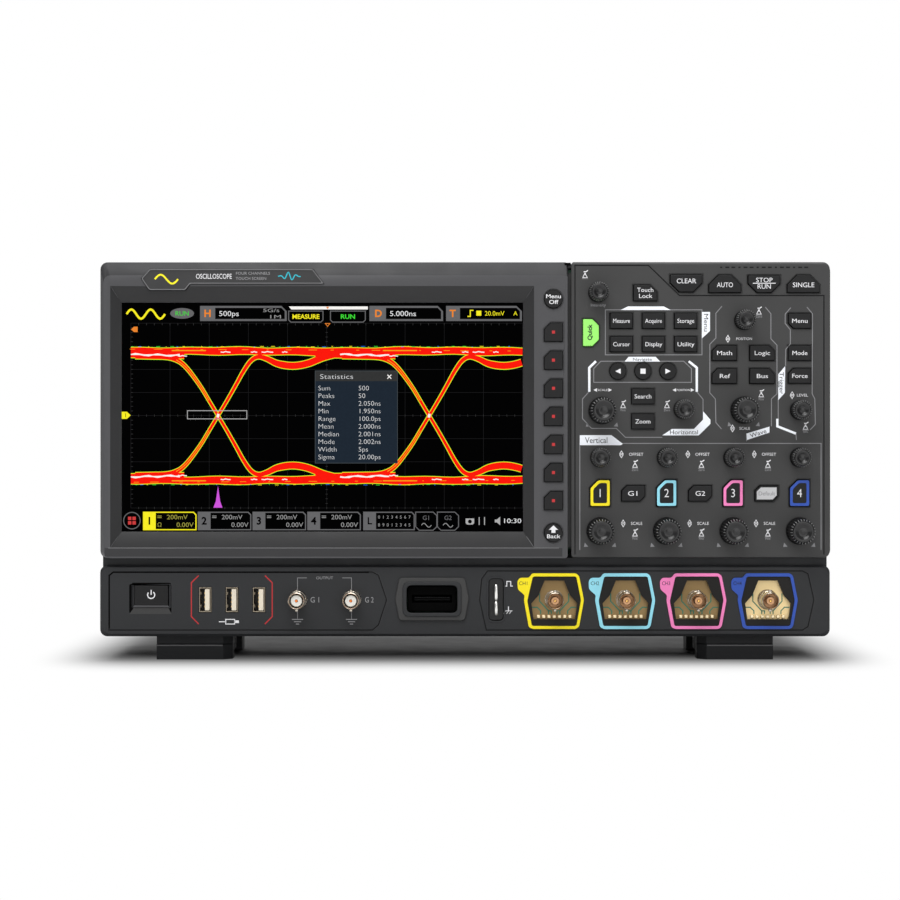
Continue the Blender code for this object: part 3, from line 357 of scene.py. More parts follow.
def opened(mesh, reach=0.000001):
    """A mesh opened for editing, with its doubled points joined."""
    form = bmesh.new()
    form.from_mesh(mesh)
    bmesh.ops.remove_doubles(form, verts=form.verts, dist=reach)
    return form


def evaluated_mesh(obj):
    """The object's final mesh in world axes; the object itself is removed."""
    bpy.context.scene.collection.objects.link(obj)
    bpy.context.view_layer.update()
    graph = bpy.context.evaluated_depsgraph_get()
    mesh = bpy.data.meshes.new_from_object(obj.evaluated_get(graph))
    mesh.transform(obj.matrix_world)
    bpy.data.objects.remove(obj)
    return mesh


def new_curve(name, dimensions, loops, closed):
    """A curve through points of three numbers each."""
    curve = bpy.data.curves.new(name, "CURVE")
    curve.dimensions = dimensions
    for loop in loops:
        line = curve.splines.new("POLY")
        line.points.add(len(loop) - 1)
        for point, place in zip(line.points, loop):
            point.co = (*place, 1)
        line.use_cyclic_u = closed
    return curve


def slab(loops, front, back, bevel=0.0, segments=2):
    """Outlines in X and Z filled between two depths. A loop inside another is a hole."""
    curve = new_curve("outline", "2D", [[(x, z, 0) for x, z in loop] for loop in loops], True)
    curve.fill_mode = "BOTH"
    curve.extrude = abs(back - front) / 2
    source = bpy.data.objects.new("outline", curve)
    source.location.y = (front + back) / 2
    source.rotation_euler.x = pi / 2
    form = opened(evaluated_mesh(source))
    if bevel:
        round_edges(form, bevel, segments)
    return to_mesh(form)


def bent_wire(points, radius):
    """A round wire through points, with closed ends."""
    curve = new_curve("wire", "3D", [points], False)
    curve.bevel_depth = radius
    curve.bevel_resolution = 3
    curve.use_fill_caps = True
    return to_mesh(opened(evaluated_mesh(bpy.data.objects.new("wire", curve))))


def round_edges(form, width, segments=2, sharper_than=40):
    bmesh.ops.dissolve_limit(form, angle_limit=radians(1), verts=form.verts, edges=form.edges)
    limit = radians(sharper_than)
    sharp = [edge for edge in form.edges if len(edge.link_faces) == 2 and edge.calc_face_angle() > limit]
    bmesh.ops.bevel(
        form, geom=sharp, offset=width, segments=segments, profile=0.5, affect="EDGES", clamp_overlap=True
    )


def block(x, y, z, bevel=0.0, segments=2):
    """A box between (low, high) on each axis, with its edges rounded."""
    form = bmesh.new()
    bmesh.ops.create_cube(form, size=1)
    for vert in form.verts:
        for axis, (low, high) in enumerate((x, y, z)):
            vert.co[axis] = (low + high) / 2 + vert.co[axis] * (high - low)
    if bevel:
        round_edges(form, bevel, segments)
    return to_mesh(form)


def bar(x, z, width, height, front, back, bevel=0.0, segments=2):
    """A box about (x, z) between two depths."""
    across, up = (x - width / 2, x + width / 2), (z - height / 2, z + height / 2)
    return block(across, (front, back), up, bevel, segments)


def round_of_points(form, x, y, z, radius, segments, flute=0.0):
    """A ring of points about a line along Y, or one point on it if it has no radius."""
    count = segments if radius else 1
    result = []
    for i in range(count):
        turn = 2 * pi * i / count
        sunk = i % STEPS_PER_FLUTE >= STEPS_PER_FLUTE / 2
        reach = radius - (flute if sunk else 0)
        result.append(form.verts.new((x + reach * cos(turn), y, z + reach * sin(turn))))
    return result


def bridge(form, one, two):
    """Faces between two rings of points; a ring of one point is a tip on the axis."""
    if len(one) == 1 and len(two) == 1:
        return
    count = max(len(one), len(two))
    for i in range(count):
        j = (i + 1) % count
        if len(one) == 1:
            form.faces.new((one[0], two[i], two[j]))
        elif len(two) == 1:
            form.faces.new((one[i], two[0], one[j]))
        else:
            form.faces.new((one[i], two[i], two[j], one[j]))


def turned(profile, x, y, z, segments=48, sign=-1):
    """A turned solid about a line along Y; the profile holds (radius, distance out of the panel)."""
    form = bmesh.new()
    rings = [round_of_points(form, x, y + sign * height, z, radius, segments) for radius, height in profile]
    for one, two in zip(rings, rings[1:]):
        bridge(form, one, two)
    return to_mesh(form)


# The height of a capital in Blender's own font at size 1.
CAP_HEIGHT = 0.682


def lettering(words, x, z, height, y, width=None, squeeze=1.0, align="CENTER", turn=0.0, weight=0.0):
    """Words as a thin solid that faces -Y, with capitals of this height set level about z."""
    text = bpy.data.curves.new("words", "FONT")
    text.body = words
    text.align_x = align
    text.resolution_u = 3
    text.extrude = 0.5
    text.offset = weight
    mesh = evaluated_mesh(bpy.data.objects.new("words", text))
    size = height / CAP_HEIGHT
    across = [vert.co.x for vert in mesh.vertices]
    stretch = width / (max(across) - min(across)) if width else size * squeeze
    c, s = cos(turn), sin(turn)
    for vert in mesh.vertices:
        run = vert.co.x * stretch
        rise = (vert.co.y - CAP_HEIGHT / 2) * size
        vert.co = (x + run * c - rise * s, y - vert.co.z * LAYER, z + run * s + rise * c)
    return to_mesh(opened(mesh))


class Kit:
    """Gathers shapes of several materials into one piece that rides on a body."""

    def __init__(self):
        self.form = bmesh.new()
        self.materials = []

    def add(self, mesh, *materials):
        """Takes over a mesh whose faces use these materials."""
        self.materials += [material for material in materials if material not in self.materials]
        places = [self.materials.index(material) for material in materials]
        first = len(self.form.faces)
        self.form.from_mesh(mesh)
        self.form.faces.ensure_lookup_table()
        for face in self.form.faces[first:]:
            face.material_index = places[min(face.material_index, len(places) - 1)]
        bpy.data.meshes.remove(mesh)
        return self

    def join(self, other):
        mesh = bpy.data.meshes.new("joined")
        other.form.to_mesh(mesh)
        other.form.free()
        return self.add(mesh, *other.materials)

    def piece(self, name, body, slot, *replaced, angle=35):
        mesh = bpy.data.meshes.new(name)
        self.form.to_mesh(mesh)
        self.form.free()
        for material in self.materials:
            mesh.materials.append(material)
        mesh.shade_smooth()
        mesh.set_sharp_from_angle(angle=radians(angle))
        obj = bpy.data.objects.new(name, mesh)
        bpy.context.scene.collection.objects.link(obj)
        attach(obj, body)
        even = obj.modifiers.new("even", "WEIGHTED_NORMAL")
        even.weight = 100
        even.keep_sharp = True
        if replaced:
            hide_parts(*replaced)


class Print(Kit):
    """Marks on a face that looks towards -Y, in millimetres; higher layers lie further out."""

    def __init__(self, face, origin=(0, 0), down=False):
        super().__init__()
        self.face = face
        self.origin = origin
        self.sign = -1 if down else 1

    def place(self, point):
        return (self.origin[0] + point[0]) * MM, (self.origin[1] + self.sign * point[1]) * MM

    def fill(self, look, *loops, layer=1, bevel=0.0):
        loops = [[self.place(point) for point in loop] for loop in loops]
        return self.add(slab(loops, self.face - layer * LAYER, self.face - (layer - 1) * LAYER, bevel), look)

    def box(self, look, x, z, width, height, layer=1):
        return self.fill(look, rectangle(x, z, width, height), layer=layer)

    def line(self, look, points, width, layer=1):
        return self.fill(look, stroke(points, width), layer=layer)

    def frame(self, look, points, width, layer=1):
        return self.fill(look, *loop_line(points, width), layer=layer)

    def words(self, look, words, x, z, height, width=None, layer=1, **style):
        x, z = self.place((x, z))
        width = width and width * MM
        face = self.face - (layer - 0.5) * LAYER
        return self.add(lettering(words, x, z, height * MM, face, width, **style), look)


def solid_form(node):
    """A CAD solid opened for editing, with its flat faces whole."""
    form = opened(NODES[node].data, 0.00001)
    bmesh.ops.dissolve_limit(form, angle_limit=radians(0.5), verts=form.verts, edges=form.edges)
    return form


def refined(node, bevel, cuts=(), segments=2):
    """The CAD solid's own shape with extra cuts, and every hard edge rounded."""
    obj = bpy.data.objects.new(node, to_mesh(solid_form(node)))
    tools = []
    for mesh in cuts:
        tool = bpy.data.objects.new("tool", mesh)
        bpy.context.scene.collection.objects.link(tool)
        tools.append(tool)
        step = obj.modifiers.new("step", "BOOLEAN")
        step.operation = "DIFFERENCE"
        step.object = tool
        step.solver = "EXACT"
    form = opened(evaluated_mesh(obj), 0.000005)
    for tool in tools:
        bpy.data.objects.remove(tool)
    round_edges(form, bevel, segments, 32)
    return to_mesh(form)


def merged(meshes):
    form = bmesh.new()
    for mesh in meshes:
        form.from_mesh(mesh)
        bpy.data.meshes.remove(mesh)
    return to_mesh(form)


# Housing -----------------------------------------------------------------------------

GROOVE_CUT = (-0.001, 0.45 * MM)
GROOVE_SHADE_SPAN = (0.00012, 0.0006)
SEAM_SHADE_BACK = BEZEL_FACE + 0.0075
FOOT_FRONT = -0.0337
BACK_WALL = 0.062

# Outer and inner edge of the sloping window frame on each side, in metres, and its mitred corners.
FRAME_ENDS = {
    "left": (-0.198, -0.1932),
    "right": (0.0382, 0.0332),
    "bottom": (0.0647, 0.0723),
    "top": (0.2099, 0.202),
}
# Thin wires along the window's mitres; the one at the lower right is light grey, a painted highlight.
MITRES = [
    ("left", "bottom", BEZEL),
    ("left", "top", BEZEL),
    ("right", "top", BEZEL),
    ("right", "bottom", HIGHLIGHT_GREY),
]


def groove(points, face, width, span, closed=False):
    """A strip along a line in millimetres: the cutter of a groove, or the near-black strip in its floor, a
    painted shade.
    """
    points = scaled(points)
    loops = loop_line(points, width * MM) if closed else [stroke(points, width * MM)]
    return slab(loops, face + span[0], face + span[1])


def middle_of(outline):
    xs, zs = zip(*outline)
    return (min(xs) + max(xs)) / 2, (min(zs) + max(zs)) / 2


def signed_area(outline):
    return sum(a[0] * b[1] - b[0] * a[1] for a, b in zip(outline, outline[1:] + outline[:1])) / 2


def cap_outlines(node):
    """The outline of each key cap of a node, from its front faces, top row first."""
    form = solid_form(node)
    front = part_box(node)[0].y
    outlines = []
    for face in form.faces:
        if all(abs(vert.co.y - front) < 0.00005 for vert in face.verts):
            outlines.append([(vert.co.x, vert.co.z) for vert in face.verts])
    form.free()
    outlines.sort(key=lambda loop: (-round(middle_of(loop)[1] / 0.003), middle_of(loop)[0]))
    return [loop if signed_area(loop) > 0 else loop[::-1] for loop in outlines]


def key_wells(nodes, face):
    """One cutter with a shallow step round every key of these nodes."""
    outlines = [outline for node in nodes for outline in cap_outlines(node)]
    return merged([slab([offset(outline, 0.0009)], face - 0.001, face + 0.0005) for outline in outlines])


def in_window_slope(middle, normal):
    """True for the faces of the bezel's window, which look towards the middle of the screen."""
    low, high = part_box("touch_glass")
    screen = (low + high) / 2
    reach = (high - low) / 2
    across, up = middle.x - screen.x, middle.z - screen.z
    inward = -(normal.x * across / reach.x + normal.z * up / reach.z)
    return inward > 0.04 and abs(across) < reach.x + 0.009 and abs(up) < reach.z + 0.011


def build_display_bezel():
    low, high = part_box("display_bezel")
    kit = Kit().add(refined("display_bezel", 0.0005, [key_wells(["softkey_pad"], BEZEL_FACE)], 3), BEZEL)
    kit.materials += [WINDOW_SLOPE_SHADE, SHADE_GLINT_CONTACT_GREY]
    for face in kit.form.faces:
        middle, normal = face.calc_center_median(), face.normal
        # The window's sloping faces take a darker grey, a painted shade.
        if abs(normal.y) < 0.985 and middle.y < BEZEL_FACE + 0.004 and in_window_slope(middle, normal):
            face.material_index = 1
        # Faces of the top strip, which lean back and face up, take a darker grey, a painted shade.
        elif normal.z > 0.03 and normal.y < -0.2 and middle.z > high.z - 0.0078:
            face.material_index = 2
    for x, z, look in MITRES:
        start = (FRAME_ENDS[x][0], BEZEL_FACE - 0.00002, FRAME_ENDS[z][0])
        end = (FRAME_ENDS[x][1], BEZEL_FACE + 0.0037, FRAME_ENDS[z][1])
        kit.add(bent_wire([start, end], 0.00014), look)
    kit.piece("display_bezel_skin", CASE, "bezel_grey", "display_bezel")
    x, bottom, edge = centre("display_bezel")[0] / MM, low.z / MM + 0.9, 63.9
    # Along the bezel's bottom: a darker band, a painted shade, under a light line on its edge, a painted
    # highlight.
    band = Print(BEZEL_FACE)
    band.box(SHADE_GLINT_CONTACT_GREY, x, (bottom + edge) / 2, 256.0, edge - bottom)
    band.box(HIGHLIGHT_GREY, x, edge, 252.0, 0.35, layer=2)
    band.piece("bezel_band", CASE, "bezel_grey")
    build_seam_seal(high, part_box("control_panel")[0])


def build_seam_seal(near, far):
    """A near-black block in the gap between the two front panels, a painted shade, from the bezel's corner to
    the panel's.
    """
    seal = Kit()
    height = (far.z + 0.0004, near.z - 0.0004)
    seal.add(block((near.x, far.x), (BEZEL_FACE + 0.003, SEAM_SHADE_BACK), height), DEEP_SHADE)
    across, depth = (near.x - 0.0016, far.x + 0.0016), (BEZEL_FACE + 0.0035, SEAM_SHADE_BACK)
    for z in (near.z - 0.001, far.z + 0.001):
        seal.add(block(across, depth, (z - 0.0007, z + 0.0007)), DEEP_SHADE)
    seal.piece("seam_shade", CASE, "black_moulding")


def build_badge():
    """A blank name plate: a raised rim coloured light grey as a painted highlight, a wave sign and the plain
    word for what the object is.
    """
    low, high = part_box("badge_plate")
    left, right, bottom, top = low.x / MM, high.x / MM, low.z / MM, high.z / MM
    tab = left + 27.2
    shape = [(left, bottom + 6.4), (left + 4.4, bottom), (tab - 2.7, bottom), (tab, bottom + 3.5)]
    shape += [(right, bottom + 3.5), (right - 6.2, top), (left + 4.7, top)]
    rim = soften(scaled(shape), 0.0009)
    inner = soften(offset(scaled(shape), -0.0005), 0.0006)
    face = low.y + 0.0004
    kit = Kit().add(slab([rim], face, high.y), PLATE)
    # The rim is light grey, a painted highlight.
    kit.add(slab([rim, inner], low.y, low.y + 0.0006), HIGHLIGHT_GREY)
    marks = Print(face)
    wave = [(left + 7.5 + 0.5 * i, bottom + 6.0 + 2.5 * sin(2 * pi * i / 26)) for i in range(27)]
    marks.line(YELLOW_INK, wave, 1.0)
    marks.words(WHITE_INK, "OSCILLOSCOPE", -140.4, 215.8, 2.7, 20)
    marks.words(GREY_INK, "FOUR CHANNELS", -128.2, 217.5, 1.5, 19, align="LEFT")
    marks.words(GREY_INK, "TOUCH SCREEN", -128.2, 214.6, 1.5, 17, align="LEFT")
    pulse = []
    for i in range(29):
        swing = 2.4 * sin(pi * i / 5) * exp(-(((i - 14) / 8) ** 2))
        pulse.append((-104.5 + 0.45 * i, 215.8 + swing))
    marks.fill(TEAL_INK, ribbon(pulse, lambda x: 0.6))
    kit.join(marks).piece("badge", CASE, "badge", "badge_plate")


def build_control_panel():
    deck = [(61.6, 60.2), (61.6, 222.1), (102.7, 222.1), (120.1, 205.2), (201.0, 205.2), (201.0, 60.2)]
    dashes = []
    for i in range(15):
        dashes.append(rectangle((143.5 + 3.4 * i) * MM, 0.221, (2.2 if i % 3 else 1.2) * MM, 0.0008))
    cuts = [groove(deck, CONTROL_FACE, 0.7, GROOVE_CUT), key_wells(CONTROL_KEYS, CONTROL_FACE)]
    cuts.append(slab(dashes, CONTROL_FACE - 0.001, CONTROL_FACE + 0.0003))
    kit = Kit().add(refined("control_panel", 0.0003, cuts), PANEL)
    # Near-black strips in the floors of the groove and the slots, a painted shade.
    kit.add(groove(deck, CONTROL_FACE, 0.4, GROOVE_SHADE_SPAN), GROOVE_SHADE)
    kit.add(slab(dashes, CONTROL_FACE + 0.0001, CONTROL_FACE + 0.0004), GROOVE_SHADE)
    kit.piece("control_panel_skin", CASE, "panel_grey", "control_panel")


def build_connector_panel():
    left_bay = [(-199.8, 17.6), (-52.0, 17.6), (-48.6, 20.4), (-44.0, 34.6), (-48.6, 48.4), (-52.0, 50.2)]
    left_bay += [(-197.6, 50.2), (-199.8, 48.2)]
    right_bay = [(12.0, 17.6), (189.6, 17.6), (192.6, 19.6), (195.9, 34.6), (192.6, 49.2), (189.6, 50.8)]
    right_bay += [(12.6, 50.8), (9.4, 46.4), (8.2, 34.6)]
    bays = (left_bay, right_bay)
    cuts = [groove(bay, CONNECTOR_FACE, 0.7, GROOVE_CUT, closed=True) for bay in bays]
    kit = Kit().add(refined("connector_panel", 0.0004, cuts), CASE_PLASTIC)
    glints_and_shadow = Print(CONNECTOR_FACE)
    # Light lines along the pointed ends of the bay grooves are painted highlights; the dark line along the
    # left bay's left side and top is a painted shadow.
    for glint in (left_bay[1:6], right_bay[1:6], right_bay[6:9]):
        glints_and_shadow.line(SHADE_GLINT_CONTACT_GREY, offset_line(glint, 0.5), 0.3)
    glints_and_shadow.line(DEEP_SHADE, [(-199.7, 18.6), (-199.7, 48.3), (-197.5, 50.1), (-54.0, 50.1)], 0.8)
    kit.join(glints_and_shadow)
    # Near-black strips in the floors of the bay grooves, a painted shade.
    for bay in bays:
        kit.add(groove(bay, CONNECTOR_FACE, 0.55, GROOVE_SHADE_SPAN, closed=True), GROOVE_SHADE)
    kit.piece("connector_panel_skin", CASE, "case_grey", "connector_panel")


def build_rear_cover():
    """The back shell, with rubber pads under its feet and a light strip along the ridge of the front ones, a
    painted highlight.
    """
    skin = Kit().add(refined("rear_cover", 0.0005), CASE_PLASTIC)
    skin.piece("rear_cover_skin", CASE, "case_grey", "rear_cover")
    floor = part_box("rear_cover")[0].z
    pads, ridge_highlights = Kit(), Kit()
    for side in (-1, 1):
        x = sorted((side * 0.1385, side * 0.171))
        for y in ((-0.028, -0.0195), (0.039, 0.051)):
            pads.add(block(x, y, (floor - 0.0004, floor + 0.001), 0.0003), RUBBER)
        # A light strip along each front foot's ridge, a painted highlight.
        x = sorted((side * 0.1372, side * 0.1745))
        ridge_highlights.add(block(x, (FOOT_FRONT - 0.0001, FOOT_FRONT + 0.0003), (0.0077, 0.0084), 0.00005), HIGHLIGHT_GREY)
    pads.piece("foot_pads", CASE, "case_grey")
    ridge_highlights.piece("foot_ridge_highlights", CASE, "case_grey")


def build_back_details():
    """Dished screws and a blank rating plate on the back wall."""
    head = [(0, 0.0003), (0.0011, 0.0003), (0.0013, 0.0009), (0.0024, 0.0008)]
    head += [(0.0028, 0.0003), (0.0028, -0.002), (0, -0.002)]
    kit = Kit()
    for x in (-0.176, 0.176):
        for z in (0.064, 0.186):
            kit.add(turned(head, x, BACK_WALL, z, 24, 1), STEEL)
            collar = slab(ring(x, z, 0.0052, 0.0036), BACK_WALL - 0.001, BACK_WALL + 0.0006, 0.0002)
            kit.add(collar, CASE_PLASTIC)
    plate = block((-0.052, 0.048), (BACK_WALL - 0.0005, BACK_WALL + 0.0002), (0.12, 0.172), 0.0001)
    kit.add(plate, PLATE)
    for row in range(5):
        width = 0.08 - 0.012 * (row % 3)
        line = rectangle(-0.002 - (0.08 - width) / 2, 0.163 - 0.0085 * row, width, 0.001)
        kit.add(slab([line], BACK_WALL + 0.0001, BACK_WALL + 0.0002 + LAYER), GREY_INK)
    kit.piece("back_fixings", CASE, "case_grey")


def build_rear_sockets():
    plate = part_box("rear_io_panel")[1].y - 0.0072
    middle = centre("rear_io_panel")[1]
    kit = Kit().add(refined("rear_io_panel", 0.0002), STEEL)
    for x in (0.08, 0.108, 0.136, 0.164):
        kit.add(turned(COAXIAL_INNER, x, 0.0545, middle, 32, 1), INSULATOR)
        kit.add(turned(COAXIAL_PIN, x, 0.0545, middle, 20, 1), GOLD)
        nut = soften(circle(x, middle, 0.0072, 6), 0.0008)
        kit.add(slab([nut, circle(x, middle, 0.0049)], plate, plate + 0.0016, 0.0002), NICKEL)
    for x, width, height in (
        (-0.04, 0.011, 0.0016),
        (-0.012, 0.006, 0.005),
        (0.016, 0.011, 0.0016),
        (0.044, 0.0104, 0.0018),
    ):
        kit.add(bar(x, middle, width, height, 0.0498, 0.058, 0.0002), BLACK)
        top = middle + height / 2
        for pin in range(4):
            spot = x + (pin - 1.5) * width / 5
            contact = block((spot - 0.0004, spot + 0.0004), (0.052, 0.0576), (top - 0.0001, top + 0.0002))
            kit.add(contact, GOLD)
    kit.piece("rear_sockets", CASE, "sheet_steel", "rear_io_panel")


def build_mains_inlet():
    x, z = centre("power_inlet")
    kit = Kit().add(refined("power_inlet", 0.0003), BLACK)
    for side, rise in ((-0.007, -0.002), (0.007, -0.002), (0, 0.002)):
        kit.add(bar(x + side, z + rise, 0.0024, 0.0044, 0.0465, 0.0602, 0.0005), STEEL)
    kit.piece("mains_inlet", CASE, "black_moulding", "power_inlet")


# Connectors --------------------------------------------------------------------------


def insulator_profile(radius, rim):
    """A dished insulator of this radius, whose rim stands this far out."""
    dish = [(0, 0.0085), (0.0008, 0.0085), (0.0009, rim), (radius - 0.0003, rim)]
    return dish + [(radius, rim - 0.0005), (radius, 0.0), (0, 0.0)]


COAXIAL_INNER = insulator_profile(0.0024, 0.0105)
WIDE_INNER = insulator_profile(0.0033, 0.0108)
COAXIAL_PIN = [(0, 0.0108), (0.0006, 0.011), (0.0009, 0.0104), (0.0009, 0.0), (0, 0.0)]
INSULATOR_FLOOR = [(0, 0.0021), (0.0039, 0.0021), (0.0039, 0.001), (0, 0.001)]
BARREL = [(0, 0.002), (0.0039, 0.002), (0.0039, 0.0116), (0.0041, 0.0122), (0.0044, 0.0125), (0.0047, 0.0122)]
BARREL += [(0.0048, 0.0116), (0.0048, 0.0036), (0.0045, 0.0033), (0.0045, 0.0026), (0.005, 0.0022)]
BARREL += [(0.0051, 0.0006), (0.005, -0.004), (0.0048, -0.0049), (0.0069, -0.005), (0.007, -0.0064)]
BARREL += [(0.0055, -0.0065), (0.0055, -0.0255), (0, -0.0255)]
BOARD_HALF = [(5.5, 10.8), (8.9, 2.5), (12.9, -2.0), (11.7, -11.0)]
BOARD_WINDOW = BOARD_HALF + [(-across, up) for across, up in reversed(BOARD_HALF)]
BOARD_LINES = [
    [(12.4, -4.4), (9.6, -4.4), (7.6, -6.4), (7.6, -8.2)],
    [(8.2, 3.4), (8.2, -1.0), (3.2, -6.4), (3.2, -8.2)],
    [(3.2, -6.4), (1.6, -6.4), (1.6, -8.2)],
]


def lug(x, y, z, end):
    """One of the two bayonet lugs, above or below the barrel."""
    form = bmesh.new()
    bmesh.ops.create_cone(form, cap_ends=True, segments=16, radius1=0.001, radius2=0.001, depth=0.0014)
    bmesh.ops.translate(form, verts=form.verts, vec=(x, y - 0.0085, z + end * 0.0053))
    round_edges(form, 0.00025, 2)
    return to_mesh(form)


def build_coaxial(node, insulator, profile=COAXIAL_INNER, pin=GOLD):
    x, z = centre(node)
    kit = Kit().add(turned(BARREL, x, CONNECTOR_FACE, z), NICKEL)
    for end in (-1, 1):
        kit.add(lug(x, CONNECTOR_FACE, z, end), NICKEL)
    kit.add(turned(profile, x, CONNECTOR_FACE, z, 32), insulator)
    kit.add(turned(COAXIAL_PIN, x, CONNECTOR_FACE, z, 20), pin)
    kit.add(turned(INSULATOR_FLOOR, x, CONNECTOR_FACE, z, 32), insulator)
    kit.piece(node + "_connector", CASE, "nickel", node)


def build_channel_surround(number):
    """The coloured ring with its tab round a channel input."""
    x, z = centre(f"bnc_channel_{number}")
    outer = [(-17.2, 0.0), (-14.4, -15.4), (-12.2, -16.4), (12.2, -16.4), (13.9, -15.0), (16.6, -0.2)]
    outer += [(13.9, 13.4), (12.2, 14.9), (-12.6, 14.9), (-14.2, 12.4)]
    outer += [(-19.4, 12.4), (-20.8, 10.6), (-20.6, 5.9), (-16.7, 2.5)]
    inner = [(-15.2, -0.6), (-12.7, -14.1), (-12.0, -14.7), (11.6, -14.7), (12.4, -14.1), (14.9, -0.2)]
    inner += [(12.4, 12.5), (11.7, 13.1), (-11.4, 13.1), (-12.2, 12.5)]
    loops = [soften(shifted(outer, x, z, MM), 0.0012, 3), soften(shifted(inner, x, z, MM), 0.001, 3)]
    front = CONNECTOR_FACE - 0.0007
    kit = Kit().add(slab(loops, front, CONNECTOR_FACE + 0.0002, 0.0003), CHANNEL_PAINT[number - 1])
    kit.join(Print(front).words(DARK_INK, f"CH{number}", x / MM - 17.3, z / MM + 9.3, 2.0, 4.6))
    kit.join(Print(CONNECTOR_FACE, (x / MM, z / MM)).fill(WELL, inner, BOARD_WINDOW))
    kit.piece(f"channel_{number}_ring", CASE, "case_grey")


def build_contact_board():
    """The gold contact board: printed guide lines and seven sprung pads for each input."""
    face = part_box("probe_interface_board")[0].y
    kit = Kit().add(refined("probe_interface_board", 0.0001), CONTACT_GOLD)
    marks = Print(face)
    for number in range(1, 5):
        x, z = centre(f"bnc_channel_{number}")
        # Channel 4's ring is the lighter gold, a painted reflection; the others keep the darker gold, a
        # painted shade.
        gold = GOLD_REFLECTION if number == 4 else CONTACT_GOLD
        marks.fill(gold, circle(x / MM, z / MM, 15.6, 24), circle(x / MM, z / MM, 5.7, 40))
        for side in (-1, 1):
            for path in BOARD_LINES:
                mirrored = [(side * across, up) for across, up in path]
                marks.line(SOLDER_MASK, shifted(mirrored, x / MM, z / MM), 0.6, layer=2)
        for pad in range(7):
            spot = x + (pad - 3) * 2.95 * MM
            kit.add(bar(spot, z - 0.0096, 0.0019, 0.002, face - 0.0012, face + 0.0002, 0.0004, 3), PAD_GOLD)
    kit.join(marks).piece("contact_board", CASE, "contact_board", "probe_interface_board")


def build_usb():
    z = centre("usb_ports")[1]
    kit = Kit().add(refined("usb_ports", 0.00015), SHELL)
    for x in (-0.1458, -0.1308, -0.1156):
        kit.add(block((x - 0.0002, x + 0.0025), (-0.047, -0.0352), (z - 0.006, z + 0.006), 0.0003), TONGUE)
        kit.add(block((x - 0.003, x + 0.0028), (-0.037, -0.0352), (z - 0.0063, z + 0.0063)), BLACK)
        for row in range(4):
            kit.add(bar(x - 0.0003, z + (row - 1.5) * 0.0025, 0.0004, 0.001, -0.046, -0.0365), GOLD)
        for end in (-1, 1):
            kit.add(bar(x - 0.00255, z + end * 0.0036, 0.0007, 0.0018, -0.0462, -0.0425, 0.0003), SHELL)
    kit.piece("usb_sockets", CASE, "nickel", "usb_ports")


def build_logic_port():
    x, z = centre("logic_port")
    outer = [(-20.75, 0.0), (-18.6, 11.2), (-17.2, 12.1), (17.2, 12.1), (18.6, 11.2), (20.75, 0.0)]
    outer += [(18.6, -11.2), (17.2, -12.1), (-17.2, -12.1), (-18.6, -11.2)]
    outer = soften(shifted(outer, x, z, MM), 0.001, 3)
    well = soften(rectangle(x, z, 0.0284, 0.0155), 0.003)
    lip = soften(rectangle(x, z, 0.033, 0.0196), 0.004)
    kit = Kit().add(slab([outer, well], CONNECTOR_FACE - 0.0016, CONNECTOR_FACE + 0.0002, 0.001), PANEL)
    kit.add(slab([lip, well], CONNECTOR_FACE - 0.0024, CONNECTOR_FACE - 0.0009, 0.0006), CASE_PLASTIC)
    # The socket and its slot are near-black, a painted shade in the recess.
    kit.add(refined("logic_port", 0.0002), DEEP_SHADE)
    kit.add(bar(x, z, 0.0206, 0.0012, -0.0436, -0.0355, 0.0002), DEEP_SHADE)
    for pad in range(20):
        for side in (-1, 1):
            spot = (x - 0.0095 + 0.001 * pad, z + side * 0.0006)
            kit.add(bar(*spot, 0.0006, 0.0004, -0.043, -0.037), SHADE_GLINT_CONTACT_GREY)
    kit.piece("logic_socket", CASE, "black_moulding", "logic_port")


def build_terminals():
    """The probe test clips: one for the test signal above, one for ground below."""
    low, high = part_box("calibration_terminals")
    x, z = centre("calibration_terminals")
    base = soften(rectangle(x, z, high.x - low.x, high.z - low.z), 0.0026)
    kit = Kit().add(slab([base], -0.0449, high.y, 0.0004), BLACK)
    collar = [soften(rectangle(x, z, 0.0104, 0.0258), 0.0036), soften(rectangle(x, z, 0.0086, 0.024), 0.003)]
    kit.add(slab(collar, CONNECTOR_FACE - 0.0003, CONNECTOR_FACE + 0.0004, 0.0001), CASE_PLASTIC)
    for bottom, top in ((0.035, 0.0425), (0.0268, 0.033)):
        hook = [(x, -0.044, bottom), (x, -0.048, bottom), (x, -0.0487, bottom + 0.001)]
        hook += [(x, -0.0487, top - 0.001), (x, -0.048, top), (x, -0.044, top)]
        kit.add(bent_wire(hook, 0.0009), SILVER)
    kit.piece("test_clips", CASE, "black_moulding", "calibration_terminals")


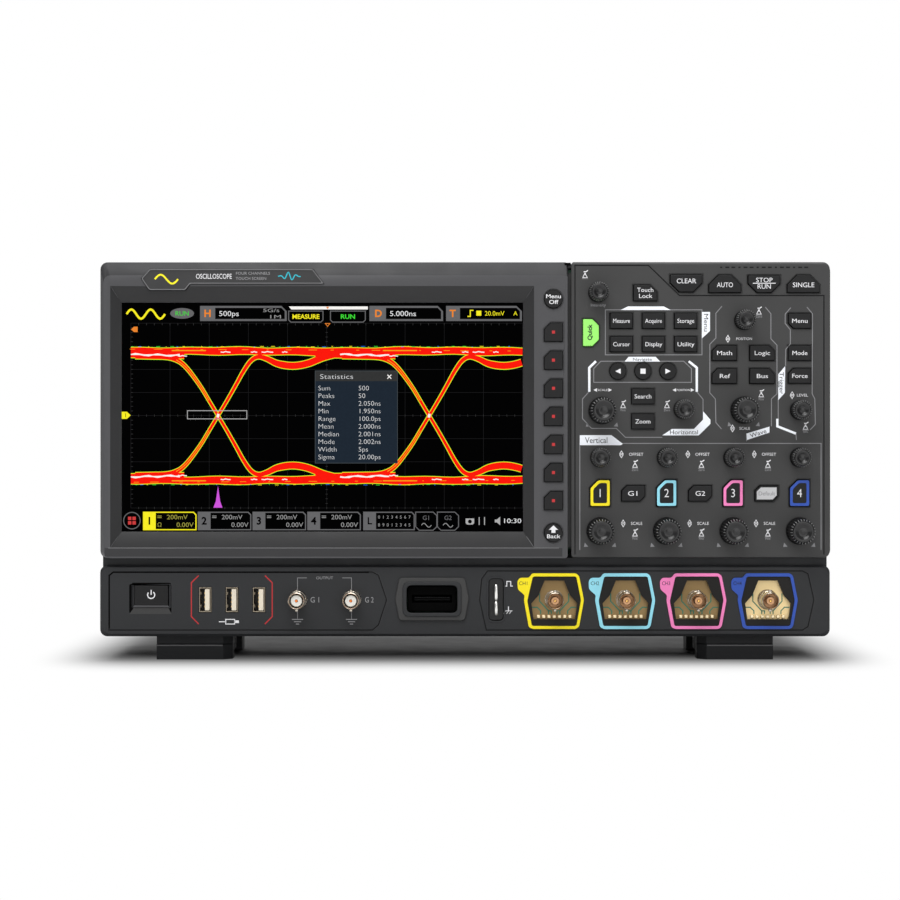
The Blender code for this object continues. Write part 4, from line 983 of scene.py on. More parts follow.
def build_connector_marks():
    """White, grey and red marks beside the connectors."""
    marks = Print(CONNECTOR_FACE)
    bracket = [(18.6, 48.2), (22.7, 44.2), (22.7, 25.2), (18.6, 21.0)]
    for side in (-1, 1):
        marks.line(RED_INK, [(-130.9 + side * across, up) for across, up in bracket], 0.6)
    for x, inward in ((-94.0, 1), (-63.7, -1)):
        marks.line(LINE_INK, [(x, 40.2), (x, 46.9), (x + inward * 5.2, 46.9)], 0.35)
        marks.line(LINE_INK, [(x, 28.6), (x, 23.8)], 0.35)
        for row in range(3):
            marks.box(GREY_INK, x, 23.6 - 1.3 * row, 6.2 - 2.2 * row, 0.5)
    square_wave = [(22.3, 42.3), (23.5, 42.3), (23.5, 44.9), (25.7, 44.9), (25.7, 42.3), (26.9, 42.3)]
    marks.line(WHITE_INK, square_wave, 0.5)
    marks.line(WHITE_INK, [(24.4, 30.9), (24.4, 28.6)], 0.5)
    marks.box(WHITE_INK, 24.4, 28.4, 4.4, 0.35)
    for x in (22.8, 24.4, 26.0):
        marks.line(WHITE_INK, [(x, 28.2), (x - 1.1, 26.8)], 0.3)
    marks.frame(WHITE_INK, rectangle(-131.8, 22.3, 5.0, 2.6), 0.5)
    marks.box(WHITE_INK, -128.1, 22.3, 2.4, 1.5)
    marks.box(WHITE_INK, -136.2, 22.3, 3.8, 0.5)
    marks.words(GREY_INK, "G 1", -84.0, 34.6, 3.0, 4.8)
    marks.words(GREY_INK, "G 2", -53.7, 34.6, 3.0, 4.8)
    marks.words(GREY_INK, "OUTPUT", -78.8, 46.9, 1.5, 9.5)
    marks.piece("connector_marks", CASE, "case_grey")


# Keys and knobs ----------------------------------------------------------------------

CONTROL_KEYS = [name for name in sorted(NODES) if name.startswith("key_") or name.endswith("_keypad")]
CONTROL_KEYS.remove("key_power")
LEGENDS = {
    "key_clear": "CLEAR",
    "key_auto": "AUTO",
    "key_single": "SINGLE",
    "key_default": "Default",
    "menu_keypad": "Measure Acquire Storage Cursor Display Utility",
    "wave_keypad": "Math Logic Ref Bus",
    "trigger_keypad": "Menu Mode Force",
    "generator_keypad": "G1 G2",
    "horizontal_keypad": "< # > Search Zoom",
}
LEGEND_WIDTHS = {"CLEAR": 10.8, "AUTO": 9.0, "SINGLE": 12.0, "Ref": 5.8, "Bus": 6.2, "G1": 5.2, "G2": 5.4}
LEGEND_WIDTHS.update({"Math": 8.4, "Mode": 8.4, "Zoom": 8.4, "Logic": 8.6, "Menu": 8.6, "Force": 8.6})
LEGEND_WIDTH = 9.4
LEGEND_RISE = {"key_clear": 1.3, "key_auto": -0.6, "key_single": -0.6}
KEY_LOOKS = {"key_quick": (GREEN_KEY, "key_green"), "key_default": (KEY, "key_white")}


def play_sign(x, z, size, side):
    return [(x - side * size, z + size), (x - side * size, z - size), (x + side * size, z)]


def legend(marks, words, x, z):
    """White words or a sign on a key cap whose middle is (x, z)."""
    if words in "<>":
        marks.fill(WHITE_INK, play_sign(x, z, 1.5, 1 if words == ">" else -1))
    elif words == "#":
        marks.box(WHITE_INK, x, z, 2.9, 2.9)
    else:
        height = 2.6 if words.isupper() or words[:1] == "G" else 2.3
        marks.words(WHITE_INK, words, x, z, height, LEGEND_WIDTHS.get(words, LEGEND_WIDTH))


def build_keys():
    for node in CONTROL_KEYS:
        look, slot = KEY_LOOKS.get(node, (KEY, "key_black"))
        kit = Kit().add(refined(node, 0.00035, segments=3), look)
        marks = Print(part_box(node)[0].y)
        outlines = cap_outlines(node)
        for outline, words in zip(outlines, LEGENDS.get(node, "").split()):
            x, z = (place / MM for place in middle_of(outline))
            if node == "key_default":
                marks.fill(WHITE_KEY, scaled(offset(outline, -0.0009), 1 / MM), layer=3, bevel=0.00004)
                marks.words(LINE_INK, words, x, z, 2.2, 9.2, layer=4)
            else:
                legend(marks, words, x, z + LEGEND_RISE.get(node, 0))
        decorate_key(node, marks, outlines[0])
        kit.join(marks).piece(node + "_cap", node, slot, node)


def decorate_key(node, marks, outline):
    """The marks of the keys that have more than one word or ink."""
    x, z = (place / MM for place in middle_of(outline))
    if node == "key_run_stop":
        marks.words(WHITE_INK, "STOP", x, z + 2.2, 2.5, 9.2)
        marks.box(WHITE_INK, x, z + 0.4, 12.8, 0.4)
        marks.words(WHITE_INK, "RUN", x, z - 1.4, 2.5, 7.4)
    elif node == "key_touch_lock":
        marks.words(WHITE_INK, "Touch", x, z + 1.7, 2.3, 9.0)
        marks.words(WHITE_INK, "Lock", x, z - 1.7, 2.3, 7.4)
    elif node == "key_quick":
        marks.words(DARK_INK, "Quick", x - 0.7, z, 2.3, 9.0, turn=pi / 2, weight=0.03)
    elif node.startswith("key_ch"):
        loops = [soften(scaled(offset(outline, -inset), 1 / MM), 1.0) for inset in (0.0002, 0.0017)]
        marks.fill(CHANNEL_PAINT[int(node[-1]) - 1], *loops, layer=4, bevel=0.0001)
        marks.words(WHITE_INK, node[-1], x, z, 4.6, squeeze=0.9, weight=-0.005)


def build_soft_keys():
    """The column beside the screen: two round keys and seven with a red mark."""
    kit = Kit().add(refined("softkey_pad", 0.00035, segments=3), KEY)
    marks = Print(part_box("softkey_pad")[0].y)
    places = [middle_of(outline) for outline in cap_outlines("softkey_pad")]
    (x, top), (_, bottom) = scaled([places[0], places[-1]], 1 / MM)
    for words, z, width in (("Menu", top + 1.5, 8.2), ("Off", top - 1.7, 5.2), ("Back", bottom - 1.9, 7.6)):
        marks.words(WHITE_INK, words, x, z, 2.1, width, weight=0.01)
    arrow = [(-1.1, 0), (1.1, 0), (1.1, 1.7), (2.6, 1.7), (0, 4.2), (-2.6, 1.7), (-1.1, 1.7)]
    marks.fill(WHITE_INK, shifted(arrow, x, bottom))
    for x, z in places[1:-1]:
        marks.box(RED_INK, x / MM, z / MM, 1.7, 1.7)
    kit.join(marks).piece("softkey_pad_caps", "softkey_pad", "key_black", "softkey_pad")


def build_power_key():
    """The power key, with a painted highlight on its lower facet, in a recess whose sloping lower lip carries
    a painted highlight, with a painted shade round the key.
    """
    low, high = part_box("key_power")
    middle_x, middle_z = centre("key_power")
    recess = Print(CONNECTOR_FACE)
    outer = soften(rectangle(-176.65, 35.2, 23.7, 16.6), 1.2)
    # A near-black ring round the key, a painted shade, and a lighter patch on the recess's lower lip, a
    # painted highlight.
    recess.fill(DEEP_SHADE, outer, soften(rectangle(middle_x / MM, middle_z / MM, 22.2, 14.4), 1.2))
    recess.fill(PANEL, [(-188.4, 26.6), (-164.7, 26.6), (-166.5, 30.2), (-185.8, 30.2)], layer=3)
    recess.piece("power_recess", CASE, "case_grey")
    kit = Kit().add(refined("key_power", 0.0004, segments=3), KEY)
    marks = Print(low.y)
    left, right, bottom = low.x / MM, high.x / MM, low.z / MM
    # A lighter patch on the key's lower facet, a painted highlight.
    facet = [(left + 0.6, bottom + 0.3), (right - 0.6, bottom + 0.3), (right - 1.2, bottom + 1.3)]
    marks.fill(BEZEL, facet + [(left + 1.2, bottom + 1.3)])
    x, z = -176.1, 37.4
    arc = [(x + 2.0 * sin(radians(a)), z + 2.0 * cos(radians(a))) for a in range(38, 324, 13)]
    marks.line(WHITE_INK, arc, 0.6)
    marks.box(WHITE_INK, x, z + 1.4, 0.6, 2.7, layer=2)
    kit.join(marks).piece("key_power_cap", "key_power", "key_black", "key_power")


FLUTES = 26


def build_knob(node):
    """A fluted knob: light streaks on the flute crests round its front edge, painted highlights, a dished
    glossy nose and a shaft.
    """
    low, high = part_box(node)
    x, z = centre(node)
    base = (high.x - low.x) / 2
    height = CONTROL_FACE - low.y
    nose = base * 0.74
    deep = 0.00035 if base < 0.006 else 0.00045
    bands = [
        (0, -0.007, 0, KNOB),
        (0.003, -0.007, 0, KNOB),
        (0.003, 0.0004, 0, KNOB),
        (base - 0.0003, 0.0004, 0, KNOB),
        (base, 0.0008, 0, KNOB),
        (base, 0.0022, 0, KNOB),
        (base - 0.0004, 0.0028, 0, KNOB),
        (base - 0.0005, 0.0036, deep, KNOB),
        (nose + 0.0013, height - 0.0022, deep, KNOB),
        (nose + 0.0004, height - 0.0005, deep, CREST_HIGHLIGHT),
        (nose + 0.0001, height - 0.0002, 0, KNOB),
        (nose - 0.0004, height, 0, KNOB_NOSE),
        (nose * 0.72, height - 0.0002, 0, KNOB_NOSE),
        (nose * 0.6, height - 0.0008, 0, KNOB_NOSE),
        (nose * 0.42, height - 0.0013, 0, KNOB_NOSE),
        (nose * 0.3, height - 0.0012, 0, KNOB_NOSE),
        (0, height - 0.0008, 0, KNOB_NOSE),
    ]
    kit = Kit()
    kit.materials = [KNOB, CREST_HIGHLIGHT, KNOB_NOSE]
    rings = [
        round_of_points(kit.form, x, CONTROL_FACE - rise, z, radius, FLUTES * STEPS_PER_FLUTE, flute)
        for radius, rise, flute, _ in bands
    ]
    for one, two, (_, _, _, look) in zip(rings, rings[1:], bands[1:]):
        first = len(kit.form.faces)
        bridge(kit.form, one, two)
        kit.form.faces.ensure_lookup_table()
        for number, face in enumerate(kit.form.faces[first:]):
            ridge = number % STEPS_PER_FLUTE == 1
            face.material_index = kit.materials.index(look if look is not CREST_HIGHLIGHT or ridge else KNOB)
    bmesh.ops.recalc_face_normals(kit.form, faces=kit.form.faces)
    kit.piece(node + "_cap", node, "knob_black", node, angle=40)


# Marks on the control panel ----------------------------------------------------------


def push_sign(marks, x, z, word=""):
    """A knob seen from the side with a finger above it: press here."""
    knob = [(x - 1.25, z - 1.7), (x + 1.25, z - 1.7), (x + 0.6, z - 0.1), (x - 0.6, z - 0.1)]
    marks.frame(WHITE_INK, knob, 0.35)
    marks.fill(WHITE_INK, circle(x, z + 0.55, 0.5, 12))
    marks.line(WHITE_INK, [(x - 0.8, z + 1.6), (x + 0.5, z + 1.6), (x + 1.6, z + 2.4)], 0.55)
    marks.box(LINE_INK, x, z - 2.3, 3.6, 0.25)
    if word:
        marks.words(GREY_INK, word, x, z - 3.1, 1.2)


def named_diamond(marks, x, z, words, middle, height, width):
    """The sign for a push and turn knob, with the knob's name beside it."""
    marks.frame(WHITE_INK, [(x - 1.0, z + 0.3), (x + 1.0, z + 0.3), (x, z + 1.9)], 0.35)
    marks.frame(WHITE_INK, [(x + 1.0, z - 0.3), (x - 1.0, z - 0.3), (x, z - 1.9)], 0.35)
    marks.words(WHITE_INK, words, middle, z, height, width)


def build_panel_marks():
    marks = Print(CONTROL_FACE)
    frame_marks(marks)
    tab_marks(marks)
    knob_marks(marks)
    marks.piece("control_marks", CASE, "panel_grey")


def frame_marks(marks):
    """The thin outlines and the thick brackets that gather the controls into groups."""
    hexagon = [(76.05, 168.4), (122.5, 168.4), (126.8, 164.3), (126.8, 156.6), (72.1, 156.6), (72.1, 164.3)]
    thick = [
        [(73.3, 168.4), (69.6, 164.8), (69.6, 151.3)],
        [(125.3, 168.4), (129.8, 164.8), (129.8, 151.3)],
        [(174.9, 136.2), (174.9, 132.0), (185.3, 127.9)],
    ]
    thin = [
        [(69.4, 151.3), (65.8, 147.3), (65.8, 136.3), (70.8, 130.8), (84.8, 130.8)]
        + [(89.8, 125.8), (110.5, 125.8)],
        [(129.8, 151.3), (133.3, 147.1), (133.3, 140.4)],
        [(143.9, 199.2), (140.5, 195.3), (140.5, 181.4), (137.1, 177.9), (137.1, 150.7), (140.2, 147.3)],
        [(140.2, 147.3), (140.5, 134.1), (143.6, 130.5)],
        [(168.2, 198.7), (171.3, 195.0), (171.3, 181.0), (174.7, 177.4), (174.7, 150.2), (171.6, 147.3)],
        [(171.6, 147.3), (171.6, 132.0)],
        [(182.4, 198.4), (179.3, 194.8), (179.3, 189.6), (182.2, 186.0), (182.2, 178.1), (179.6, 175.1)],
        [(179.6, 175.1), (179.5, 165.8)],
        [(191.5, 198.7), (194.6, 195.0), (194.4, 150.2), (195.9, 147.3), (196.2, 133.1), (193.3, 130.0)],
        [(175.4, 147.2), (175.4, 136.2)],
        [(185.3, 127.9), (185.6, 124.3)],
        [(157.7, 127.9), (157.7, 123.6)],
        [(64.3, 62.7), (64.3, 122.4), (199.4, 122.4), (199.4, 62.7)],
    ]
    marks.frame(LINE_INK, rectangle(105.65, 184.6, 54.1, 25.2), 0.45)
    marks.frame(LINE_INK, hexagon, 0.45)
    for points in thick:
        marks.line(TAB_INK, points, 1.3)
    for points in thin:
        marks.line(LINE_INK, points, 0.45)


def tab_marks(marks):
    """The pale name tabs of the groups, and their names."""
    tabs = [
        [(87.1, 197.1), (115.2, 197.1), (111.3, 199.1), (91.3, 199.1)],
        [(132.7, 181.2), (137.2, 185.4), (137.2, 196.0), (132.7, 196.0)],
        [(89.3, 168.2), (109.3, 168.2), (106.8, 170.9), (91.6, 170.9)],
        [(110.5, 126.9), (130.9, 126.9), (137.4, 133.3), (137.4, 135.7), (133.3, 140.4), (133.3, 135.7)]
        + [(128.2, 130.5), (115.9, 130.5)],
        [(157.9, 124.3), (170.5, 128.5), (170.5, 131.8), (157.6, 127.9)],
        [(175.4, 146.6), (179.1, 150.7), (179.3, 165.7), (175.4, 161.1)],
        [(64.3, 121.4), (87.5, 121.4), (88.3, 122.2), (82.0, 127.0), (64.3, 127.0)],
    ]
    for tab in tabs:
        marks.fill(TAB_INK, tab, layer=2)
    for words, x, z, height, width, turn in (
        ("Menu", 135.0, 190.0, 2.4, 9.8, -pi / 2),
        ("Navigate", 99.3, 169.5, 1.6, 10.6, 0),
        ("Horizontal", 122.6, 128.7, 2.4, 15.6, 0),
        ("Wave", 164.2, 128.1, 2.4, 9.4, radians(18)),
        ("Trigger", 177.3, 156.2, 2.3, 12.2, -pi / 2),
        ("Vertical", 73.6, 124.2, 3.2, 12.5, 0),
    ):
        marks.words(DARK_INK, words, x, z, height, width, turn=turn, layer=3)


def knob_marks(marks):
    """The names and signs beside the knobs."""
    for x in (95.2, 132.4, 169.6):
        named_diamond(marks, x - 7.6, 116.3, "OFFSET", x + 0.6, 1.6, 8.0)
        push_sign(marks, x, 110.7, "Zero")
        named_diamond(marks, x - 6.6, 77.6, "SCALE", x + 0.9, 1.6, 6.4)
        push_sign(marks, x, 72.2, "Fine")
    named_diamond(marks, 147.2, 181.0, "POSITION", 156.3, 1.4, 8.8)
    named_diamond(marks, 149.8, 130.8, "SCALE", 156.6, 1.5, 6.0)
    named_diamond(marks, 183.2, 149.4, "LEVEL", 188.9, 1.5, 6.2)
    marks.words(GREY_INK, "Intensity", 74.6, 199.9, 1.6, 8.4)
    for x, words, half in ((77.1, "SCALE", 3.2), (122.3, "POSITION", 4.1)):
        marks.words(WHITE_INK, words, x, 152.3, 1.1, 2 * half - 0.8)
        for side in (-1, 1):
            marks.fill(WHITE_INK, play_sign(x + side * (half + 1.0), 152.3, 1.0, side))
    for x, z, word in (
        (67.2, 216.9, ""),
        (164.6, 196.5, "Zero"),
        (165.9, 150.2, "Fine"),
        (190.7, 132.0, "50%"),
        (88.5, 144.1, "Fine"),
        (113.1, 144.1, "Zero"),
    ):
        push_sign(marks, x, z, word)
    for node in sorted(NODES):
        if not node.startswith("knob_") or "scale" not in node:
            continue
        x, z = (place / MM for place in centre(node))
        for side in (-1, 1):
            wedge = shifted([(0, 0), (side * 2.4, -0.2), (side * 1.9, 2.2)], x + side * 6.6, z - 8.8)
            marks.fill(LINE_INK, wedge if side > 0 else wedge[::-1])


# Display -----------------------------------------------------------------------------

# The lit picture is drawn in millimetres right of and below the screen's upper left corner.
DISPLAY_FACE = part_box("lcd_panel")[0].y
SCREEN_LEFT, SCREEN_TOP = -192.6, 201.4
SCREEN_WIDTH, SCREEN_HEIGHT = 225.2, 128.5
GRID_LEFT, GRID_TOP, GRID_WIDTH, GRID_HEIGHT = 4.8, 11.4, 220.2, 103.9
GRID_RIGHT = GRID_LEFT + GRID_WIDTH
CROSSINGS = (53.8, 172.5)
AXIS = 63.4
RAIL = 36.2
BAR_MIDDLE = 122.5

# One falling trace past a crossing, as (across, down) from it. The rising one mirrors it.
TRACE = [(-49.0, -33.9), (-32.0, -33.4), (-23.5, -31.4), (-17.6, -26.8), (-10.1, -16.8), (-5.0, -8.4)]
TRACE += [(0.0, 0.0), (5.0, 8.4), (10.1, 17.4), (14.3, 25.0), (18.5, 30.9), (22.7, 33.1)]
TRACE += [(27.7, 31.9), (33.6, 29.2), (42.0, 28.0), (50.3, 29.3), (58.7, 32.6), (66.0, 34.6)]


def between(a, b, c, d, t):
    """The value at t on a smooth curve from b to c, which comes from a and goes on to d."""
    square = (2 * a - 5 * b + 4 * c - d) * t * t
    cube = (3 * b - a - 3 * c + d) * t**3
    return 0.5 * (2 * b + (c - a) * t + square + cube)


def spline(points, steps=5):
    """A smooth line through points."""
    result = []
    padded = [points[0]] + points + [points[-1]]
    for corners in zip(padded, padded[1:], padded[2:], padded[3:]):
        for step in range(steps):
            result.append(tuple(between(*values, step / steps) for values in zip(*corners)))
    return result + [points[-1]]


def ribbon(points, width_at):
    """The outline of a line whose width changes along it."""
    left, right = [], []
    for i, (x, z) in enumerate(points):
        ahead, behind = points[min(i + 1, len(points) - 1)], points[max(i - 1, 0)]
        run, rise = ahead[0] - behind[0], ahead[1] - behind[1]
        length = hypot(run, rise)
        half = width_at(x) / 2
        left.append((x - rise / length * half, z + run / length * half))
        right.append((x + rise / length * half, z - run / length * half))
    return left + right[::-1]


def in_grid(points):
    return [(min(max(x, GRID_LEFT), GRID_RIGHT), z) for x, z in points]


def small_wave(left, middle, step, height, period, count):
    """A sine wave from its left end, as a line of points."""
    return [(left + step * i, middle - height * sin(2 * pi * i / period)) for i in range(count)]


def trace_paths():
    """The middle line and the width of every trace and rail of the eye diagram."""
    paths = []
    for crossing in CROSSINGS:
        for mirror in (1, -1):
            points = [(crossing + x, AXIS + mirror * z) for x, z in spline(TRACE)]
            points = [point for point in points if GRID_LEFT <= point[0] <= GRID_RIGHT]
            paths.append((points, lambda x, c=crossing: 1.5 + 2.2 * min(1, abs(x - c) / 36) ** 2))
    for side in (-1, 1):
        steps = [GRID_LEFT + GRID_WIDTH * i / 40 for i in range(41)]
        swell = [(x, AXIS + side * (RAIL + 0.25 * sin(x * 0.21) - 0.2 * cos(x * 0.055))) for x in steps]
        paths.append((swell, lambda x: 4.0 + 0.3 * sin(x * 0.13)))
        for crossing in CROSSINGS:
            start = max(GRID_LEFT, crossing - 64)
            run = crossing - 19 - start
            lead = [(start + run * i / 12, AXIS + side * (35.0 - 0.055 * i)) for i in range(13)]
            paths.append((lead, lambda x: 4.6))
    return paths


def draw_traces(screen):
    """The eye diagram: two rails and two crossings, hot in the middle and cool at the edges."""
    paths = trace_paths()
    for look, extra, layer in ((GLOW_GREEN, 0.4, 3), (GLOW_YELLOW, 0.28, 4), (GLOW_RED, 0.0, 5)):
        for points, width_at in paths:
            outline = in_grid(ribbon(points, lambda x: width_at(x) + 2 * extra))
            screen.fill(look, outline, layer=layer)
    for crossing in CROSSINGS:
        for side in (-1, 1):
            draw_hot_streaks(screen, crossing, side)
        spark = [(-0.9, 0.9), (0.5, 1.2), (0.9, -0.9), (-0.5, -1.2)]
        screen.fill(GLOW_WHITE, shifted(spark, crossing, AXIS), layer=7)
    draw_flecks(screen)


def draw_flecks(screen):
    """Stray sweeps: short green, blue and yellow dashes along both edges of the rails."""
    looks = (GLOW_GREEN, GLOW_BLUE, GLOW_YELLOW, GLOW_GREEN, GLOW_YELLOW)
    for side in (-1, 1):
        for i in range(52):
            u = GRID_LEFT + 2 + 4.15 * i + 1.3 * sin(5.3 * i + side)
            length = 1.3 + 0.9 * sin(2.7 * i)
            edge = 2.62 + 0.15 * sin(3.1 * i)
            screen.box(looks[i % 5], u, AXIS + side * (RAIL + edge), length, 0.3, layer=6)
            if i % 3 == 0:
                screen.box(GLOW_AMBER, u, AXIS + side * (37.4 - 0.02 * i), 2.2 * length, 0.28, layer=6)


def draw_hot_streaks(screen, crossing, side):
    """White where most sweeps coincide, and yellow slivers where the traces part."""
    start = max(GRID_LEFT, crossing - 50)
    streak = [(start + 2.5 * i, AXIS + side * (34.4 + 0.35 * sin(1.3 * i) - 0.05 * i)) for i in range(12)]
    screen.fill(GLOW_WHITE, in_grid(ribbon(streak, lambda x: 0.9 + 0.3 * sin(x))), layer=6)
    for across, length in ((-22.5, 5.0), (1.5, 5.5), (18.5, 3.5), (24.5, 6.5), (36.0, 3.0)):
        start = crossing + across
        if start + length > GRID_RIGHT:
            continue
        level = AXIS + side * (35.8 if across > -20 else 33.6)
        dash = [(start + length * i / 4, level + 0.25 * sin(2.2 * i)) for i in range(5)]
        screen.fill(GLOW_WHITE, ribbon(dash, lambda x: 0.55), layer=6)
    sliver = [(crossing + x, AXIS + side * z) for x, z in spline(TRACE[2:6])]
    screen.fill(GLOW_AMBER, ribbon(sliver, lambda x: 0.4), layer=6)
    tongue = [(crossing - 26 + 2.4 * i, AXIS + side * 36.6) for i in range(9)]
    screen.fill(GLOW_AMBER, ribbon(tongue, lambda x: 0.6), layer=6)


def draw_grid(screen):
    """The graticule with its ticks and markers."""
    screen.box(GLOW_BLACK, SCREEN_WIDTH / 2, SCREEN_HEIGHT / 2, SCREEN_WIDTH + 4, SCREEN_HEIGHT + 4)
    middle_u, middle_v = GRID_LEFT + GRID_WIDTH / 2, GRID_TOP + GRID_HEIGHT / 2
    uprights = [rectangle(GRID_LEFT + GRID_WIDTH * i / 10, middle_v, 0.22, GRID_HEIGHT) for i in range(11)]
    levels = [rectangle(middle_u, GRID_TOP + GRID_HEIGHT * i / 8, GRID_WIDTH, 0.22) for i in range(9)]
    screen.fill(GLOW_GRID, *uprights, layer=2)
    screen.fill(GLOW_GRID, *levels, layer=2)
    rows = [GRID_TOP + GRID_HEIGHT * i / 40 for i in range(1, 40)]
    columns = [GRID_LEFT + GRID_WIDTH * i / 50 for i in range(1, 50)]
    across = [rectangle(u, v, 1.2, 0.25) for u in (middle_u, GRID_LEFT + 0.6) for v in rows]
    screen.fill(GLOW_TICK, *across, layer=3)
    lines = (middle_v, GRID_TOP + 0.6, GRID_TOP + GRID_HEIGHT)
    upright = [rectangle(u, v, 0.25, 1.2) for v in lines for u in columns]
    screen.fill(GLOW_TICK, *upright, layer=3)
    screen.frame(GLOW_GREY, rectangle(53.3, 62.9, 33.4, 4.6), 0.4, layer=8)
    spike = [(51.2, 115.1), (52.6, 111.5), (53.5, 105), (53.8, 102.8)]
    spike += [(54.1, 105), (55.0, 111.5), (56.3, 115.1)]
    screen.fill(GLOW_PURPLE, spike, layer=7)
    screen.fill(GLOW_ORANGE, [(4.9, 14.9), (6.6, 13.4), (8.6, 13.4), (8.6, 16.4), (6.6, 16.4)], layer=7)
    screen.fill(GLOW_YELLOW, [(-0.4, 61.2), (2.6, 61.2), (4.7, 63.2), (2.6, 65.2), (-0.4, 65.2)], layer=7)
    screen.words(GLOW_BLACK, "1", 1.9, 63.2, 2.2, layer=8)
    screen.frame(GLOW_ORANGE, [(114.1, 11.6), (116.7, 11.6), (115.4, 13.2)], 0.35, layer=7)


def draw_box(screen, left, right, top, bottom, corner, edge=GLOW_PANEL, layer=2):
    """A box with its upper right corner cut."""
    outline = [(left, top), (right - corner, top), (right, top + corner), (right, bottom), (left, bottom)]
    screen.fill(edge, outline, layer=layer)


def draw_status_bar(screen):
    """The readouts over the graticule."""
    screen.line(GLOW_YELLOW, small_wave(2.4, 6.3, 0.6, 2.6, 18, 37), 1.2, layer=3)
    oval = [(33.6 + 6.7 * cos(a), 5.9 + 3.0 * sin(a)) for a in (2 * pi * i / 28 for i in range(28))]
    screen.fill(GLOW_PANEL, oval, layer=2)
    screen.words(GLOW_GREEN, "RUN", 33.6, 5.9, 2.5, 7.4, layer=3)
    for left, right, split in ((43.7, 92.4, 52.2), (138.9, 180.3, 148.2), (182.0, 224.6, 189.8)):
        draw_box(screen, left, right, 1.7, 10.2, 3.0)
        inner = [(split, 2.8), (right - 3.0, 2.8), (right - 1.1, 4.7), (right - 1.1, 9.1), (split, 9.1)]
        screen.fill(GLOW_BLACK, inner, layer=3)
    for letter, u in (("H", 47.9), ("D", 143.9), ("T", 185.7)):
        screen.words(GLOW_ORANGE, letter, u, 5.9, 3.8, layer=3, weight=0.03)
    for look, words, u, v, height, width, align in (
        (GLOW_TEXT, "500ps", 54.2, 6.0, 2.8, 11.0, "LEFT"),
        (GLOW_DIM, "5G/s", 88.4, 4.2, 1.9, 9.0, "RIGHT"),
        (GLOW_DIM, "1M", 89.6, 7.8, 1.9, 6.0, "RIGHT"),
        (GLOW_TEXT, "5.000ns", 150.2, 6.0, 2.8, 14.6, "LEFT"),
        (GLOW_YELLOW, "20.0mV", 214.8, 5.9, 2.5, 11.0, "RIGHT"),
        (GLOW_YELLOW, "A", 221.0, 5.9, 2.3, None, "CENTER"),
    ):
        screen.words(look, words, u, v, height, width, align=align, layer=4)
    screen.box(GLOW_YELLOW, 200.4, 5.8, 2.8, 2.8, layer=4)
    screen.line(GLOW_YELLOW, [(194.0, 7.6), (195.6, 7.6), (195.6, 4.2), (197.4, 4.2)], 0.6, layer=4)
    screen.fill(GLOW_WHITE, [(93.6, 2.0), (138.0, 2.0), (138.0, 3.7), (95.0, 3.7)], layer=2)
    screen.fill(GLOW_ORANGE, [(114.5, 2.2), (116.3, 2.2), (115.4, 3.5)], layer=3)
    for look, words, left, right, width in (
        (GLOW_YELLOW, "MEASURE", 93.5, 112.8, 15.2),
        (GLOW_GREEN, "RUN", 117.0, 136.6, 8.0),
    ):
        middle = (left + right) / 2
        screen.frame(GLOW_PANEL, cut_corners(middle, 7.7, right - left, 6.2, 1.2), 0.5, layer=3)
        screen.words(look, words, middle, 7.7, 2.4, width, layer=4, weight=0.025)


def draw_results(screen):
    """The panel of statistics over the middle of the graticule."""
    left, right, top, bottom = 108.3, 154.8, 38.1, 90.2
    middle, width = (left + right) / 2, right - left
    screen.box(GLOW_EDGE, middle, (top + bottom) / 2, width, bottom - top, layer=8)
    screen.box(GLOW_SLATE, middle, (top + 5.9 + bottom - 0.3) / 2, width - 0.6, bottom - top - 6.2, layer=9)
    screen.box(GLOW_HEADER, middle, top + 3.1, width - 0.6, 5.6, layer=9)
    title = {"align": "LEFT", "layer": 11, "weight": -0.016}
    screen.words(GLOW_TEXT, "Statistics", left + 2.6, top + 3.3, 2.6, 18.5, **title)
    for direction in (-1, 1):
        arm = [(149.0, 41.5 - direction * 1.1), (151.2, 41.5 + direction * 1.1)]
        screen.line(GLOW_WHITE, arm, 0.5, layer=11)
    names = "Sum Peaks Max Min Range Mean Median Mode Width Sigma".split()
    values = "500 50 2.050ns 1.950ns 100.0ps 2.000ns 2.001ns 2.002ns 5ps 20.00ps".split()
    style = {"align": "LEFT", "squeeze": 1.08, "layer": 11, "weight": -0.018}
    for row, (name, value) in enumerate(zip(names, values)):
        v = 47.9 + 4.3 * row
        screen.words(GLOW_TEXT, name, 110.0, v, 2.6, **style)
        screen.words(GLOW_TEXT, value, 132.6, v, 2.6, **style)


def draw_channel_bar(screen):
    """The row of readouts under the graticule, one for each channel."""
    screen.fill(GLOW_PANEL, *ring(5.4, 122.4, 4.9, 4.4), layer=3)
    for across in (-1, 1):
        for down in (-1, 1):
            screen.box(GLOW_ICON, 5.4 + 1.25 * across, 122.4 + 1.25 * down, 1.9, 1.9, layer=3)
    for number in range(1, 5):
        left = 11.6 + 30.8 * (number - 1)
        right = left + 30.1
        chosen = number == 1
        draw_box(screen, left, right, 117.4, 127.8, 1.6, GLOW_YELLOW if chosen else GLOW_PANEL)
        draw_box(screen, left + 7.2, right - 0.6, 118.0, 127.2, 1.3, GLOW_BLACK, 3)
        screen.words(GLOW_BLACK, str(number), left + 3.6, BAR_MIDDLE, 4.0, layer=4, weight=0.03)
        look = GLOW_YELLOW_DIM if chosen else GLOW_DIM
        screen.words(look, "200mV", right - 5.0, 120.4, 2.5, 11.6, align="RIGHT", layer=4)
        screen.words(look, "0.00V", right - 1.6, 124.7, 2.5, 9.6, align="RIGHT", layer=4)
        strokes = [rectangle(left + 9.3, v, 2.4, 0.4) for v in (119.8, 120.7)]
        screen.fill(look, *strokes, layer=4)
        if chosen:
            screen.words(look, "Ω", left + 9.3, 124.7, 2.3, layer=4)


